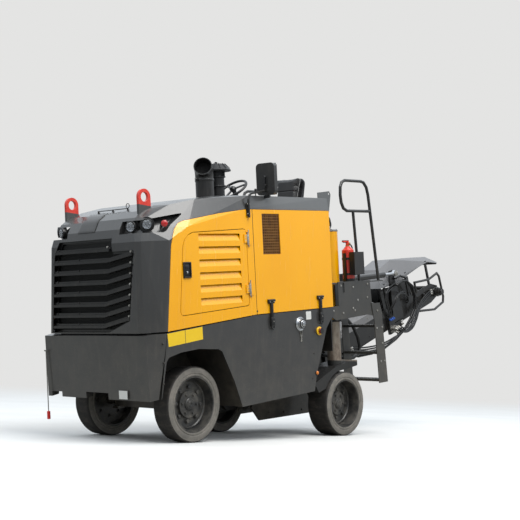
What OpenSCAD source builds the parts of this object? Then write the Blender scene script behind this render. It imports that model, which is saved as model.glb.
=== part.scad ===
// Cold planer on four solid rubber wheels, millimetres, +X forward, +Z up.

/* [Stance] */
// nose-down angle of the body on its raised rear legs
stance_pitch = 7; // [0:0.5:8]
// distance from the part's origin forward to the front axle
axle_ahead = 2283; // [2200:1:2400]
// free gap between pieces that move past each other
play = 6; // [5:1:10]

/* [Wheels] */
// outer diameter of every tyre
tyre_d = 660; // [600:10:700]
// diameter of the rim that carries the rubber
rim_d = 490; // [440:10:520]
// width of the front tyres
front_tyre_w = 185; // [160:5:210]
// width of the rear tyres
rear_tyre_w = 250; // [220:5:270]
// distance between the outer faces of the front tyres
front_track_out = 1220; // [1160:10:1260]
// outer face of the left rear tyre from the centre
rear_out = 570; // [540:10:620]
// left rear wheel behind the front axle
rear_back = 2270; // [2200:10:2320]
// right rear wheel, swung in, behind the front axle
inner_back = 1400; // [1350:10:1450]

/* [Body] */
// overall width over the side panels
body_w = 1440; // [1400:10:1480]
// front face ahead of the front axle
nose = 593; // [560:1:620]
// rear edge of the side panels behind the front axle
tail = 1930; // [1880:10:1980]
// height of the panel seam above the front axle
seam_z = 735; // [700:5:770]
// top edge of the yellow panels above the front axle
shoulder_z = 1702; // [1650:2:1740]
// flat top of the hood above the front axle
top_z = 1832; // [1790:2:1860]
// sheet thickness of the panels
sheet = 6; // [4:1:10]

/* [Engine doors] */
// width of each door
door_w = 885; // [840:5:900]
// height of each door at its front edge
door_h = 690; // [620:10:720]
// number of louvres in each door
louvres = 6; // [4:1:7]

/* [Milling drum] */
// diameter over the pick tips
drum_d = 540; // [500:10:600]
// cutting width
drum_w = 500; // [440:10:520]
// number of picks
picks = 46; // [24:1:60]

/* [Conveyor] */
// length from the foot pivot to the head roller
boom_l = 2520; // [2400:10:2600]
// slope of the belt above the body's floor line
boom_slope = 15; // [10:0.5:20]
// width of the conveyor frame
boom_w = 470; // [420:10:520]

/* [Hidden] */
$fn = 48;
wheel_r = tyre_d / 2;
half_w = body_w / 2;
column_d = 146;
inner_out = 600;
king_y = front_track_out / 2 - 225;
foot_x = -2850;
foot_z = 120;
deck_z = top_z + 1;
lift_eye = [1560, 525];
mast = [-3050, 985];
cy = -340;

// Lays the children in the body's own frame, front axle at its origin.
module hull_frame() {
    translate([axle_ahead, 0, wheel_r]) rotate([0, stance_pitch, 0]) children();
}

module both() {
    children();
    mirror([0, 1, 0]) children();
}

// A flat profile in x and z, from y0 over thickness t.
module side(y0, t) {
    translate([0, y0 + t, 0]) rotate([90, 0, 0]) linear_extrude(height = t) children();
}

// A flat profile in x and y, from z0 over height h.
module plan(z0, h) {
    translate([0, 0, z0]) linear_extrude(height = h) children();
}

// A block between two corners.
module box(a, b) {
    translate(a) cube([b[0] - a[0], b[1] - a[1], b[2] - a[2]]);
}

// A round bar from a to b.
module rod(a, b, d) {
    v = b - a;
    l = norm(v);
    translate(a)
        rotate([0, acos(v[2] / l), atan2(v[1], v[0])])
            cylinder(d = d, h = l);
}

function unit(v) = v / norm(v);

// A bent bar along a path as one closed mesh, mitred at its corners.
module tube(p, d, n = 10, ref = [0, 1, 0]) {
    m = len(p);
    rings = [for (i = [0:m - 1])
        let (
            a = unit(p[max(i, 1)] - p[max(i, 1) - 1]),
            b = unit(p[min(i, m - 2) + 1] - p[min(i, m - 2)]),
            t = unit(a + b),
            u = unit(ref - (ref * a) * a),
            v = cross(a, u))
        for (k = [0:n - 1])
            let (o = d / 2 * (cos(k * 360 / n) * u + sin(k * 360 / n) * v))
            p[i] + o - a * ((o * t) / (a * t))];
    polyhedron(
        points = rings,
        faces = concat(
            [[for (k = [0:n - 1]) k]],
            [for (i = [0:m - 2], k = [0:n - 1])
                [i * n + k, i * n + n + k, i * n + n + (k + 1) % n]],
            [for (i = [0:m - 2], k = [0:n - 1])
                [i * n + k, i * n + n + (k + 1) % n, i * n + (k + 1) % n]],
            [[for (k = [0:n - 1]) m * n - 1 - k]]));
}

module rounded(w, h, r) {
    translate([r, 0]) square([w - 2 * r, h]);
    translate([0, r]) square([w, h - 2 * r]);
    for (x = [r, w - r], y = [r, h - r]) translate([x, y]) circle(r = r);
}

// Outer form of the hood drawn in by t all round, as one convex solid.
module hood_form(t, back) {
    hull() {
        plan(640 - t, 1) polygon([
            [nose - t, -575 + t], [nose - t, 575 - t], [nose - 30 - t, 612 - t],
            [410 - t, half_w - t], [-back, half_w - t],
            [-back, -half_w + t], [410 - t, -half_w + t], [nose - 30 - t, -612 + t]]);
        plan(1425, 1) polygon([
            [565 - t, -545 + t], [565 - t, 545 - t], [535 - t, 590 - t],
            [330 - t, half_w - t], [-back, half_w - t],
            [-back, -half_w + t], [330 - t, -half_w + t], [535 - t, -590 + t]]);
        plan(1540 - t, 1) polygon([
            [540 - t, -520 + t], [540 - t, 520 - t], [500 - t, 575 - t], [250, 690 - t],
            [100, half_w - t], [100, -half_w + t], [250, -690 + t],
            [500 - t, -575 + t], [540 - t, -520 + t]]);
        plan(1630 - t, 1) polygon([
            [490 - t, -490 + t], [490 - t, 490 - t], [420 - t, 560 - t],
            [420 - t, -560 + t]]);
        plan(1690 - t, 1) polygon([
            [405 - t, -470 + t], [405 - t, 470 - t], [330 - t, 540 - t],
            [330 - t, -540 + t]]);
        plan(shoulder_z, 1) polygon([
            [-636, half_w - t], [-back, half_w - t],
            [-back, -half_w + t], [-636, -half_w + t]]);
        plan(1738 - t, 1) polygon([
            [260 - t, -480 + t], [260 - t, 480 - t], [180, 580 - t], [180, -580 + t]]);
        plan(1790 - t, 1) polygon([
            [0, -500 + t], [0, 500 - t], [-100, 620 - t], [-100, -620 + t]]);
        plan(top_z - t, 1) polygon([
            [-420, -540 + t], [-420, 540 - t], [-560, 620 - t], [-760, 690 - t],
            [-back, 700 - t], [-back, -700 + t], [-760, -690 + t], [-560, -620 + t]]);
    }
}

module hood_shell() {
    difference() {
        hood_form(0, tail);
        hood_form(sheet, tail + 10);
        box([-2500, -900, 0], [900, 900, 600]);
        // the bottom follows the rising seam
        side(-900, 1800) polygon([
            [900, 500], [900, 655], [400, 662], [-753, seam_z + 2], [-2500, seam_z + 8],
            [-2500, 500]]);
    }
}

// Yellow outline of the front side panel, grown by g.
module front_yellow(g) {
    polygon([
        [394 + g, 600], [392 + g, 662], [310 + g, 1382], [285 + g, 1455],
        [240 + g, 1525 + g], [185, 1572 + g], [123, 1594 + g], [-300, 1660 + g],
        [-636, 1699 + g], [-748 - g, 1702 + g], [-756 - g, 600]]);
}

module rear_yellow(g) {
    polygon([
        [-762 + g, 600], [-756 + g, 1702 + g], [-tail - g - 5, 1704 + g],
        [-tail - g - 5, 600]]);
}

door_back = -655;
module door_outline(g) {
    f = door_back + door_w;
    t = 830 + door_h;
    polygon([
        [door_back + 30 - g, 826 - g], [f - 30, 786 - g], [f - 8 + g, 795],
        [f + g, 820], [f - 60 + g, t - 150], [f - 85 + g, t - 90], [f - 130, t - 50 + g],
        [f - 190, t - 30 + g], [door_back + 40, t + g], [door_back + 12, t - 8 + g],
        [door_back - g, t - 40], [door_back - g, 850], [door_back + 8 - g, 833 - g]]);
}

// Outline of the lamp recess that wraps each front corner, grown by g.
module lamp_band(g) {
    polygon([
        [640 + g, 1496 - g], [640 + g, 1600 + g], [480, 1606 + g], [160, 1656 + g],
        [104 - g, 1662 + g], [112 - g, 1648], [215, 1588 - g], [262, 1560 - g],
        [318, 1508 - g], [350, 1496 - g]]);
}

module lamp_recess() {
    for (s = [-1, 1]) difference() {
        intersection() {
            hood_form(0, tail);
            side(s > 0 ? 338 : -900, 562) lamp_band(6);
        }
        difference() {
            side(s > 0 ? 344 : -900, 556) lamp_band(0);
            hood_form(40, tail);
        }
        hood_form(46, tail);
    }
}

module engine_hood() {
    color([0.29, 0.29, 0.28]) hull_frame() {
        lamp_recess();
        difference() {
            hood_shell();
            side(344, 556) lamp_band(0);
            side(-900, 556) lamp_band(0);
            hood_cuts();
        }
    }
}

module hood_cuts() {
    side(-900, 1800) front_yellow(3);
    side(-900, 1800) rear_yellow(3);
    // grille opening in the nose
    translate([480, 0, 0]) rotate([90, 0, 90]) linear_extrude(height = 220) polygon([
        [-550, 668], [212, 668], [472, 764], [532, 1356], [262, 1356], [256, 1470],
        [-446, 1470], [-508, 1340]]);
}

module side_panels() {
    color([0.95, 0.68, 0.05]) hull_frame() difference() {
        intersection() {
            hood_shell();
            union() {
                side(-900, 1800) front_yellow(0);
                side(-900, 1800) rear_yellow(0);
            }
            union() {
                box([-2500, 600, 500], [900, 900, 1900]);
                box([-2500, -900, 500], [900, -600, 1900]);
            }
        }
        side(-900, 1800) door_outline(6);
        // rear vent windows
        box([-1140, -900, 1285], [-885, 900, 1665]);
    }
    color([0.95, 0.68, 0.05]) hull_frame() both() for (z = [930, 1390]) hinge_leaf(z);
}

// Fixed half of a door hinge with its pin.
module hinge_leaf(z) {
    x = door_back - 9;
    box([x - 60, half_w, z - 14], [x - 14, half_w + 5, z + 104]);
    for (k = [z - 14, z + 91]) {
        box([x - 16, half_w, k], [x, half_w + 10, k + 13]);
        translate([x, half_w + 10, k]) cylinder(d = 16, h = 13);
    }
    translate([x, half_w + 10, z - 14]) cylinder(d = 8, h = 118);
}

module vent_screens() {
    color([0.35, 0.22, 0.10]) hull_frame() both() difference() {
        box([-1152, half_w - sheet - 6, 1273], [-873, half_w - sheet, 1677]);
        for (i = [0:8], j = [0:13])
            translate([-1132 + i * 27, 690, 1297 + j * 26]) box([0, 0, 0], [14, 40, 14]);
    }
}

module door_panel() {
    difference() {
        union() {
            side(half_w - sheet, sheet) door_outline(0);
            difference() {
                side(half_w - 26, 21) door_outline(0);
                side(half_w - 40, 36) door_outline(-14);
            }
        }
        for (i = [0:louvres - 1])
            translate([0, 0, 858 + i * 112]) box([-565, half_w - 32, 0], [-25, half_w + 20, 62]);
        translate([108, half_w - 32, 1110]) box([0, 0, 0], [62, 60, 120]);
    }
    // pressed louvre hoods, open at the front edge
    for (i = [0:louvres - 1]) translate([0, 0, 858 + i * 112]) {
        translate([-567, half_w, 0]) rotate([90, 0, 90])
            linear_extrude(height = 544) polygon([[-6, -3], [0, -3], [0, 0], [-22, 60], [-28, 60], [-6, 0]]);
    }
    // latch dish
    translate([108, half_w - 14, 1110]) difference() {
        box([-4, -8, -4], [66, 12, 124]);
        box([6, -2, 10], [56, 20, 110]);
    }
    box([126, half_w - 20, 1140], [152, half_w - 6, 1205]);
    box([108, half_w - 20, 1150], [130, half_w - 14, 1190]);
    for (z = [930, 1390]) {
        translate([door_back - 9, half_w + 10, z]) difference() {
            cylinder(d = 16, h = 90);
            translate([0, 0, -1]) cylinder(d = 8.1, h = 92);
        }
        box([door_back - 4, half_w + 5, z + 6], [door_back + 38, half_w + 10, z + 84]);
        box([door_back + 4, half_w - 2, z + 6], [door_back + 38, half_w + 8, z + 84]);
    }
}

module door_left() {
    color([0.95, 0.68, 0.05]) hull_frame() door_panel();
}

module door_right() {
    color([0.95, 0.68, 0.05]) hull_frame() mirror([0, 1, 0]) door_panel();
}

// A cross bar with a stepped front, its far part level and its near part rising.
module grille_bar(z, y0, bend, y1, rise) {
    for (p = [[588, -20, 2], [566, 0, 20]])
        translate([528, 0, z]) rotate([90, 0, 90]) linear_extrude(height = p[0] - 528)
            polygon(y1 > bend ? [
                [y0, p[1]], [bend, p[1]], [y1, p[1] + rise], [y1, p[2] + rise],
                [bend, p[2]], [y0, p[2]]] : [
                [y0, p[1]], [y1, p[1]], [y1, p[2]], [y0, p[2]]]);
}

module front_grille() {
    color([0.16, 0.16, 0.16]) hull_frame() {
        for (i = [0:6])
            grille_bar(724 + i * 93.5, -540 + i * 5.8, 139 + i * 14.7, 467 + i * 9.2,
                68 - 3.5 * i);
        grille_bar(1379, -478, 246, 246, 0);
        // frame behind the bars, standing on the cooler
        translate([524, 0, 0]) rotate([90, 0, 90]) linear_extrude(height = 10) difference() {
            polygon([
                [-560, 656], [222, 656], [486, 750], [545, 1370], [276, 1370],
                [272, 1480], [-456, 1480], [-524, 1350]]);
            polygon([
                [-530, 690], [206, 690], [452, 782], [506, 1334], [240, 1334],
                [236, 1452], [-424, 1452], [-488, 1334]]);
        }
        for (z = [700, 1250]) box([515, -532, z], [530, -495, z + 40]);
        box([515, 440, 800], [530, 480, 840]);
        box([515, 475, 1250], [530, 505, 1290]);
    }
}

module front_bumper() {
    color([0.28, 0.28, 0.27]) hull_frame() difference() {
        intersection() {
            plan(0, 800) polygon([
                [nose + 8, -655], [nose + 8, 655], [430, half_w], [300, half_w],
                [300, -half_w], [430, -half_w]]);
            side(-900, 1800) polygon([
                [nose + 6, 640], [530, 648], [406, 648], [506, 106], [nose - 14, 95]]);
        }
        // centre notch and towing notch in the lower lip
        box([400, -140, 60], [700, 150, 150]);
        box([400, -610, 60], [700, -470, 140]);
    }
}

module side_skirts() {
    color([0.35, 0.34, 0.31]) hull_frame() both() side(half_w - sheet, sheet) polygon([
        [400, 651], [500, 108], [496, 112], [424, 412], [395, 445], [245, 476], [32, 487],
        [-217, 463], [-262, 440], [-410, 154], [-500, -80], [-1566, -62], [-1611, 101],
        [-1804, 538], [-1893, 632], [-1930, 640], [-tail, seam_z], [-753, seam_z - 5]]);
}

module chassis() {
    color([0.2, 0.2, 0.2]) hull_frame() {
        both() {
            side(235, 20) polygon([
                [407.4, 640], [496, 160], [300, 110], [-450, 110], [-600, -60], [-1560, -60],
                [-1760, 300], [-1900, 300], [-1900, 640]]);
            box([-232, 255, 524], [400, half_w - sheet, 530]);
            side(255, half_w - sheet - 255) polygon([
                [-225, 530], [-237, 530], [-426, 154], [-516, -80], [-506, -80],
                [-414, 154]]);
            side(255, half_w - sheet - 255) polygon([
                [398, 530], [398, 500], [412, 424], [418, 426], [404, 530]]);
            box([-1900, 235, 300], [-1888, half_w - sheet, 720]);
            box([-1900, 655, 690], [-1860, half_w - sheet, 725]);
            box([-1900, 250, 520], [-200, 275, 545]);
        }
        box([-1888, -235, 600], [388, 235, 612]);
        box([-450, -235, 110], [300, 235, 122]);
        box([-1560, -235, -60], [-600, 235, -48]);
        box([376, -235, 122], [388, 235, 600]);
        box([-1888, -235, 300], [-1876, 235, 600]);
        // rear bulkhead
        w = half_w - sheet;
        translate([-1912, 0, 0]) rotate([90, 0, 90]) linear_extrude(height = 18) polygon([
            [0.2 - w, 560], [w - 0.2, 560], [w - 0.2, shoulder_z], [693.6, deck_z - sheet - 0.2],
            [-693.6, deck_z - sheet - 0.2], [0.2 - w, shoulder_z]]);
        // door posts on their outriggers
        both() {
            box([-745, 255, 590], [-705, w, 640]);
            box([-745, w - 50, 640], [-705, w, 1690]);
        }
        // rear platform bearers
        for (y = [-600, 150]) box([-2815, y, 900], [-1905, y + 30, 966]);
    }
}

module engine_block() {
    color([0.3, 0.3, 0.32]) hull_frame() {
        box([-1150, -220, 612], [180, 220, 1300]);
    }
}

module radiator() {
    color([0.08, 0.08, 0.08]) hull_frame() {
        box([430, -530, 648], [515, 505, 1440]);
    }
}

module lifting_lugs() {
    color([0.85, 0.2, 0.13]) hull_frame() both() translate([374, 477, 1695]) {
        difference() {
            union() {
                side(-13, 26) polygon([
                    [-70, 18], [70, -48], [70, 110], [-70, 110]]);
                translate([0, 13, 115]) rotate([90, 0, 0]) cylinder(r = 70, h = 26);
            }
            translate([0, 30, 115]) rotate([90, 0, 0]) cylinder(r = 42, h = 60);
        }
    }
}

// Lamps stand on the floor of the recess, d across, turned by a.
module lamp(p, a, d, h) {
    translate(p) rotate([0, 90, a]) {
        cylinder(d = d, h = h);
        translate([0, 0, -78]) cylinder(d = d * 0.5, h = 84);
    }
}

module lamp_pods() {
    color([0.12, 0.12, 0.12]) hull_frame() both() {
        lamp([486, 446, 1556], 18, 90, 34);
        lamp([424, 560, 1570], 44, 90, 34);
        lamp([320, 655, 1572], 58, 56, 24);
    }
}

// Rubber latches over the seam, fuel cap and stop buttons.
module side_fittings() {
    color([0.08, 0.08, 0.08]) hull_frame() {
        both() for (x = [-955, -1708]) {
            box([x - 45, half_w, 842], [x + 45, half_w + 16, 866]);
            box([x - 18, half_w + 4, 690], [x + 18, half_w + 16, 845]);
            box([x - 24, half_w, 612], [x + 24, half_w + 24, 700]);
        }
        translate([-1380, half_w, 607]) rotate([-90, 0, 0]) {
            cylinder(d = 132, h = 8);
            cylinder(d = 92, h = 42);
            translate([0, 0, 40]) cylinder(d = 60, h = 10);
        }
        both() translate([-1671, half_w, 518]) rotate([-90, 0, 0]) {
            cylinder(d = 84, h = 12);
            cylinder(d = 40, h = 40);
            translate([0, 0, 28]) cylinder(d = 54, h = 16);
        }
    }
}

module rear_gussets() {
    color([0.3, 0.3, 0.29]) hull_frame() both() difference() {
        side(692, 8) polygon([
            [-1789, deck_z], [-1789, deck_z + 54], [-1980, deck_z + 73],
            [-2001, deck_z + 37], [-1960, 1690], [-tail, 1690], [-tail, deck_z]]);
        translate([-1972, 600, deck_z + 46]) rotate([-90, 0, 0]) cylinder(d = 24, h = 200);
    }
}

// Thin rod that the driver sights along at the far front corner.
module sight_rod() {
    color([0.5, 0.1, 0.08]) hull_frame() {
        box([594.6, -648, 500], [622, -622, 512]);
        translate([612, -635, -60]) cylinder(d = 9, h = 565);
        translate([612, -635, -110]) cylinder(d = 30, h = 70);
    }
}

// The elbow turns from upright to face forward and to the left.
elbow = concat(
    [[0, 0, 0], [0, 0, 228]],
    [for (a = [12:12:72]) [
        92 * (1 - cos(a)) * cos(38), 92 * (1 - cos(a)) * sin(38), 228 + 92 * sin(a)]]);

module exhaust_elbow() {
    e = elbow[len(elbow) - 1];
    o = unit([cos(38), sin(38), 0.34]);
    color([0.1, 0.1, 0.1]) hull_frame() translate([-868, 30, deck_z]) difference() {
        tube(concat(elbow, [e + 55 * o]), 180, 24, [-sin(38), cos(38), 0]);
        tube([e - 40 * o, e + 90 * o], 166, 24, [-sin(38), cos(38), 0]);
    }
}

module air_precleaner() {
    color([0.13, 0.13, 0.13]) hull_frame() translate([-1108, -30, deck_z]) {
        cylinder(d = 150, h = 255);
        translate([0, 0, 250]) cylinder(d = 158, h = 60);
        translate([0, 0, 305]) cylinder(d = 290, h = 12);
        translate([0, 0, 317]) cylinder(d1 = 290, d2 = 170, h = 60);
    }
}

module control_desk() {
    color([0.18, 0.18, 0.18]) hull_frame() {
        side(-420, 640) polygon([
            [-1500, deck_z], [-1925, deck_z], [-1925, 1850], [-1700, 1885],
            [-1540, 1870]]);
        rod([-1568, -150, 1861], [-1487.4, -150, 1972], 44);
        rod([-1486.23, -150, 1973.67], [-1475.06, -150, 1989.05], 20);
    }
}

module steering_wheel() {
    color([0.07, 0.07, 0.07]) hull_frame() translate([-1478, -150, 1985])
        rotate([0, 36, 0]) {
            rotate_extrude() translate([150, 0]) circle(d = 26);
            difference() {
                cylinder(d = 66, h = 26, center = true);
                cylinder(d = 20.2, h = 40, center = true);
            }
            for (a = [0, 120, 240]) rotate([0, 0, a])
                translate([22, -11, -6]) cube([124, 22, 12]);
        }
}

module seat_base() {
    color([0.12, 0.12, 0.12]) hull_frame() {
        box([-2330, -290, 978], [-2030, -10, 1010]);
        box([-2280, -240, 1005], [-2080, -60, 1545]);
        box([-2380, -350, 1540], [-1990, 50, 1570]);
        side(-330, 360) polygon([
            [-2350, 1565], [-2385, 1590], [-2495, 2110], [-2470, 2120], [-2362, 1610],
            [-2352, 1571]]);
        for (y = [-395, 55]) {
            box([-2310, y, 1760], [-2040, y + 40, 1800]);
            box([-2310, y + 8, 1545], [-2280, y + 32, 1765]);
            box([-2310, min(y, -360), 1545], [-2280, max(y + 40, 60), 1568]);
        }
    }
}

module seat_cushion() {
    color([0.05, 0.05, 0.05]) hull_frame()
        box([-2340, -340, 1570.5], [-1990, 40, 1655]);
}

module seat_back() {
    color([0.05, 0.05, 0.05]) hull_frame() side(-320, 340) polygon([
        [-2349.6, 1655.3], [-2457, 2110], [-2400, 2130], [-2345, 2050], [-2290, 1655.3]]);
}

module mirrors() {
    m = half_w + 16;
    color([0.08, 0.08, 0.08]) hull_frame() {
        tube([[-690, m, 1625], [-690, m, 1790], [-705, m, 1830], [-750, m - 15, 1850],
            [-900, m - 20, 1870], [-985, m - 20, 1890]], 22, 10, [0, 1, 0.2]);
        box([-712, half_w + 0.3, 1640], [-668, half_w + 12, 1760]);
        translate([-1010, m - 20, 1965]) rotate([0, 0, 8]) rotate([90, 0, 90])
            translate([-100, -126, 0]) linear_extrude(height = 52) rounded(200, 300, 40);
    }
}

module handrails() {
    r = 665;
    color([0.1, 0.1, 0.1]) hull_frame() both() {
        tube([[-2835, r, 980.3], [-2715, r, 1890], [-2690, r, 1970], [-2640, r, 2020],
            [-2590, r, 2030], [-2300, r, 2030], [-2250, r, 2010], [-2222, r, 1960],
            [-2215, r, 1880], [-2225, r, 1800], [-2260, r, 1740], [-2320, r, 1715],
            [-2725, r, 1715]], 32);
        tube([[-2425, r, 1715], [-2480, r, 979.3]], 30);
    }
    // case for papers on the near rail's front post
    color([0.1, 0.1, 0.1]) hull_frame() box([-2475, 676, 1050], [-2305, 742, 1285]);
}

module platform() {
    color([0.25, 0.25, 0.25]) hull_frame() {
        difference() {
            union() {
                box([-2880, -694, 966], [-1912, 694, 978]);
                box([-2880, -694, 977], [-2870, 250, 1060]);
            }
            translate([-rear_back, 450, 900]) cylinder(d = 200, h = 200);
            // room for the yoke and the cylinders when the conveyor slews
            for (y = [[-700, -535], [-145, 5]]) box([-2900, y[0], 900], [-2850, y[1], 1100]);
        }
        both() side(694, 8) difference() {
            polygon([
                [-1932, 742], [-2050, 742], [-2050, 985], [-2620, 985], [-2640, 740],
                [-2750, 700], [-2780, 600], [-2640, 610], [-2560, 625], [-2000, 600],
                [-1912, 640]]);
            translate([-2160, 885]) square([34, 74]);
            for (z = [885, 959]) translate([-2143, z]) circle(d = 34);
        }
    }
}

module ladder() {
    color([0.25, 0.25, 0.25]) hull_frame() {
        side(702, 8) polygon([
            [-2620, 740], [-2770, 740], [-2800, 660], [-2860, -110], [-2700, -110],
            [-2660, 560]]);
        side(250, 8) polygon([
            [-2650, 966], [-2780, 966], [-2860, -110], [-2700, -110], [-2700, 600]]);
        for (z = [-95, 195, 480]) box([-2840, 258, z], [-2715, 702, z + 25]);
    }
}

module extinguisher() {
    color([0.8, 0.08, 0.08]) hull_frame() translate([-2390, 600, 978]) {
        cylinder(d = 125, h = 330);
        translate([0, 0, 330]) cylinder(d1 = 125, d2 = 40, h = 45);
        translate([0, 0, 375]) cylinder(d = 36, h = 40);
        translate([-10, -12, 415]) cube([90, 24, 14]);
    }
}

module front_axle() {
    color([0.15, 0.15, 0.15]) hull_frame() difference() {
        union() {
            box([-55, 45 - king_y, -50], [55, king_y - 45, 50]);
            box([-75, -60, 50], [75, 60, 110]);
            both() box([-45, king_y - 46, -75], [45, king_y + 25, 75]);
        }
        both() translate([0, king_y, 0]) {
            box([-60, -29, -52], [60, 35, 52]);
            translate([0, 0, -100]) cylinder(d = 30.1, h = 200);
            // room for the steering arm at full lock
            translate([0, 0, -38]) linear_extrude(height = 56) polygon([
                [10, -20], [-70, -20], [-70, -68], [0, -31]]);
        }
    }
}

module knuckle() {
    translate([0, king_y, 0]) {
        translate([0, 0, -46]) cylinder(d = 56, h = 92);
        translate([0, 0, -75]) cylinder(d = 30, h = 150);
        rod([0, 20, 0], [0, 113, 0], 90);
        rod([0, 100, 0], [0, 235 - front_tyre_w / 2, 0], 60);
        // steering arm reaching back
        difference() {
            side(-18, 36) polygon([[-20, -30], [-172, -30], [-172, -8], [-20, 10]]);
            translate([-150, 0, -40]) cylinder(d = 18.1, h = 60);
        }
    }
}

module knuckle_left() {
    color([0.2, 0.2, 0.2]) hull_frame() knuckle();
}

module knuckle_right() {
    color([0.2, 0.2, 0.2]) hull_frame() mirror([0, 1, 0]) knuckle();
}

module track_rod() {
    color([0.35, 0.35, 0.35]) hull_frame() {
        rod([-150, -king_y, -55], [-150, king_y, -55], 34);
        both() translate([-150, king_y, -72]) {
            cylinder(d = 46, h = 40);
            cylinder(d = 18, h = 66);
        }
    }
}

// A tyre lying on its side, outer face up.
module tyre(w) {
    rotate_extrude($fn = 96) polygon([
        [rim_d / 2, -w], [tyre_d / 2 - 12, -w], [tyre_d / 2, -w + 14],
        [tyre_d / 2, -14], [tyre_d / 2 - 12, 0], [rim_d / 2, 0]]);
}

module rim(w) {
    r = rim_d / 2;
    difference() {
        rotate_extrude($fn = 96) polygon([
            [r, -w + 4], [r, -4], [r - 12, -4], [r - 16, -20], [r - 22, -w / 2],
            [120, -w / 2 - 4], [118, -w / 2 + 22], [0, -w / 2 + 26], [0, -w / 2 - 18],
            [r - 22, -w / 2 - 18], [r - 16, -w + 4]]);
        for (a = [0:7]) rotate([0, 0, a * 45])
            translate([150, 0, -w]) cylinder(d = 34, h = w);
        translate([0, 0, -w]) cylinder(d = 60.1, h = w / 2 + 14);
    }
    translate([0, 0, -w / 2 + 26]) cylinder(d = 90, h = 16);
}

// Sets a wheel part with its outer face at y0 on the left.
module wheel_at(x, y0) {
    translate([axle_ahead - x, y0, wheel_r]) rotate([-90, 0, 0]) children();
}

module tyre_front_left() {
    color([0.12, 0.12, 0.12]) wheel_at(0, front_track_out / 2) tyre(front_tyre_w);
}

module rim_front_left() {
    color([0.2, 0.2, 0.2]) wheel_at(0, front_track_out / 2) rim(front_tyre_w);
}

module tyre_front_right() {
    color([0.12, 0.12, 0.12]) mirror([0, 1, 0])
        wheel_at(0, front_track_out / 2) tyre(front_tyre_w);
}

module rim_front_right() {
    color([0.2, 0.2, 0.2]) mirror([0, 1, 0])
        wheel_at(0, front_track_out / 2) rim(front_tyre_w);
}

module tyre_rear_left() {
    color([0.12, 0.12, 0.12]) wheel_at(rear_back / cos(stance_pitch), rear_out)
        tyre(rear_tyre_w);
}

module rim_rear_left() {
    color([0.2, 0.2, 0.2]) wheel_at(rear_back / cos(stance_pitch), rear_out)
        rim(rear_tyre_w);
}

module tyre_rear_right() {
    color([0.12, 0.12, 0.12]) mirror([0, 1, 0])
        wheel_at(inner_back / cos(stance_pitch), inner_out) tyre(rear_tyre_w);
}

module rim_rear_right() {
    color([0.2, 0.2, 0.2]) mirror([0, 1, 0])
        wheel_at(inner_back / cos(stance_pitch), inner_out) rim(rear_tyre_w);
}

// A lifting leg about its own wheel centre, outer tyre face at y = 0.
module leg(col_h) {
    top = wheel_r + 34;
    inner = -rear_tyre_w - 28;
    translate([0, -120, top]) cylinder(d = column_d, h = col_h);
    // the arm slopes forward over the tyre
    side(inner - 30, -inner + 5) polygon([
        [-272, top + 6], [-272, top + 64], [-60, top + 52], [110, top + 28],
        [475, top - 107], [413, top - 204], [294, top - 176], [245, top - 116],
        [175, top - 62], [90, top - 25], [0, top - 17], [-90, top - 14]]);
    side(inner - 30, 30) polygon([
        [-130, top + 2], [300, top - 150], [120, -110], [-120, -110]]);
    rod([0, inner - 62, 0], [0, -rear_tyre_w / 2 - 24, 0], 210);
    rod([0, inner, 0], [0, 10 - rear_tyre_w / 2, 0], 60);
}

module leg_left() {
    color([0.6, 0.56, 0.5]) hull_frame()
        translate([-rear_back, rear_out, -rear_back * tan(stance_pitch)]) leg(1100);
}

module leg_right() {
    color([0.6, 0.56, 0.5]) hull_frame() mirror([0, 1, 0])
        translate([-inner_back, inner_out, -inner_back * tan(stance_pitch)]) leg(620);
}

module leg_sleeve(h) {
    difference() {
        cylinder(d = column_d + 42, h = h);
        translate([0, 0, 40]) cylinder(d = column_d + 2 * play, h = h - 52);
        translate([0, 0, -1]) cylinder(d = column_d + 0.1, h = 60);
    }
}

module leg_sleeves() {
    color([0.95, 0.68, 0.05]) hull_frame() {
        translate([-rear_back, rear_out - 120, 600]) leg_sleeve(910);
        box([-rear_back + 85, rear_out - 160, 700], [-1912, rear_out - 80, 880]);
        box([-rear_back + 85, rear_out - 160, 1200], [-1912, rear_out - 80, 1300]);
        translate([-inner_back, 120 - inner_out, 540]) leg_sleeve(560);
        box([-inner_back - 60, -inner_out + 194, 560],
            [-inner_back + 60, -255, 700]);
    }
}

// Hoses held at both ends: the column's and the drum motor's.
module body_hoses() {
    color([0.05, 0.05, 0.05]) hull_frame() {
        for (k = [0, 1]) translate([0, -34 * k, 0]) tube([
            [-1912.3, 458, 1560 - 30 * k], [-1935, 458, 1560 - 30 * k],
            [-1990, 458, 1612 - 26 * k], [-2075, 458, 1652 - 18 * k],
            [-2150, 462, 1640 - 16 * k], [-2215, 465, 1590 - 10 * k],
            [-2240, 465, 1540], [-2240, 465, 1510.3]], 24, 10);
        tube([
            [-1912.3, 330, 640], [-1960, 330, 640], [-2150, 312, 668],
            [-2270, 300, 676], [-2450, 256, 672], [-2620, 224, 648], [-2800, 220, 588],
            [-2950, 217, 480], [-3040, 214, 350], [-3075, 211, 250], [-3045, 208, 170],
            [-2960, 204, 130], [-2860, 190, 126], [-2770, 158, 142], [-2690, 104, 166],
            [-2630, 40, 182], [-2610, 0, 186], [-2610, -39.7, 186]], 40, 10,
            [0.2, 0.3, 1]);
    }
}

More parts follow.
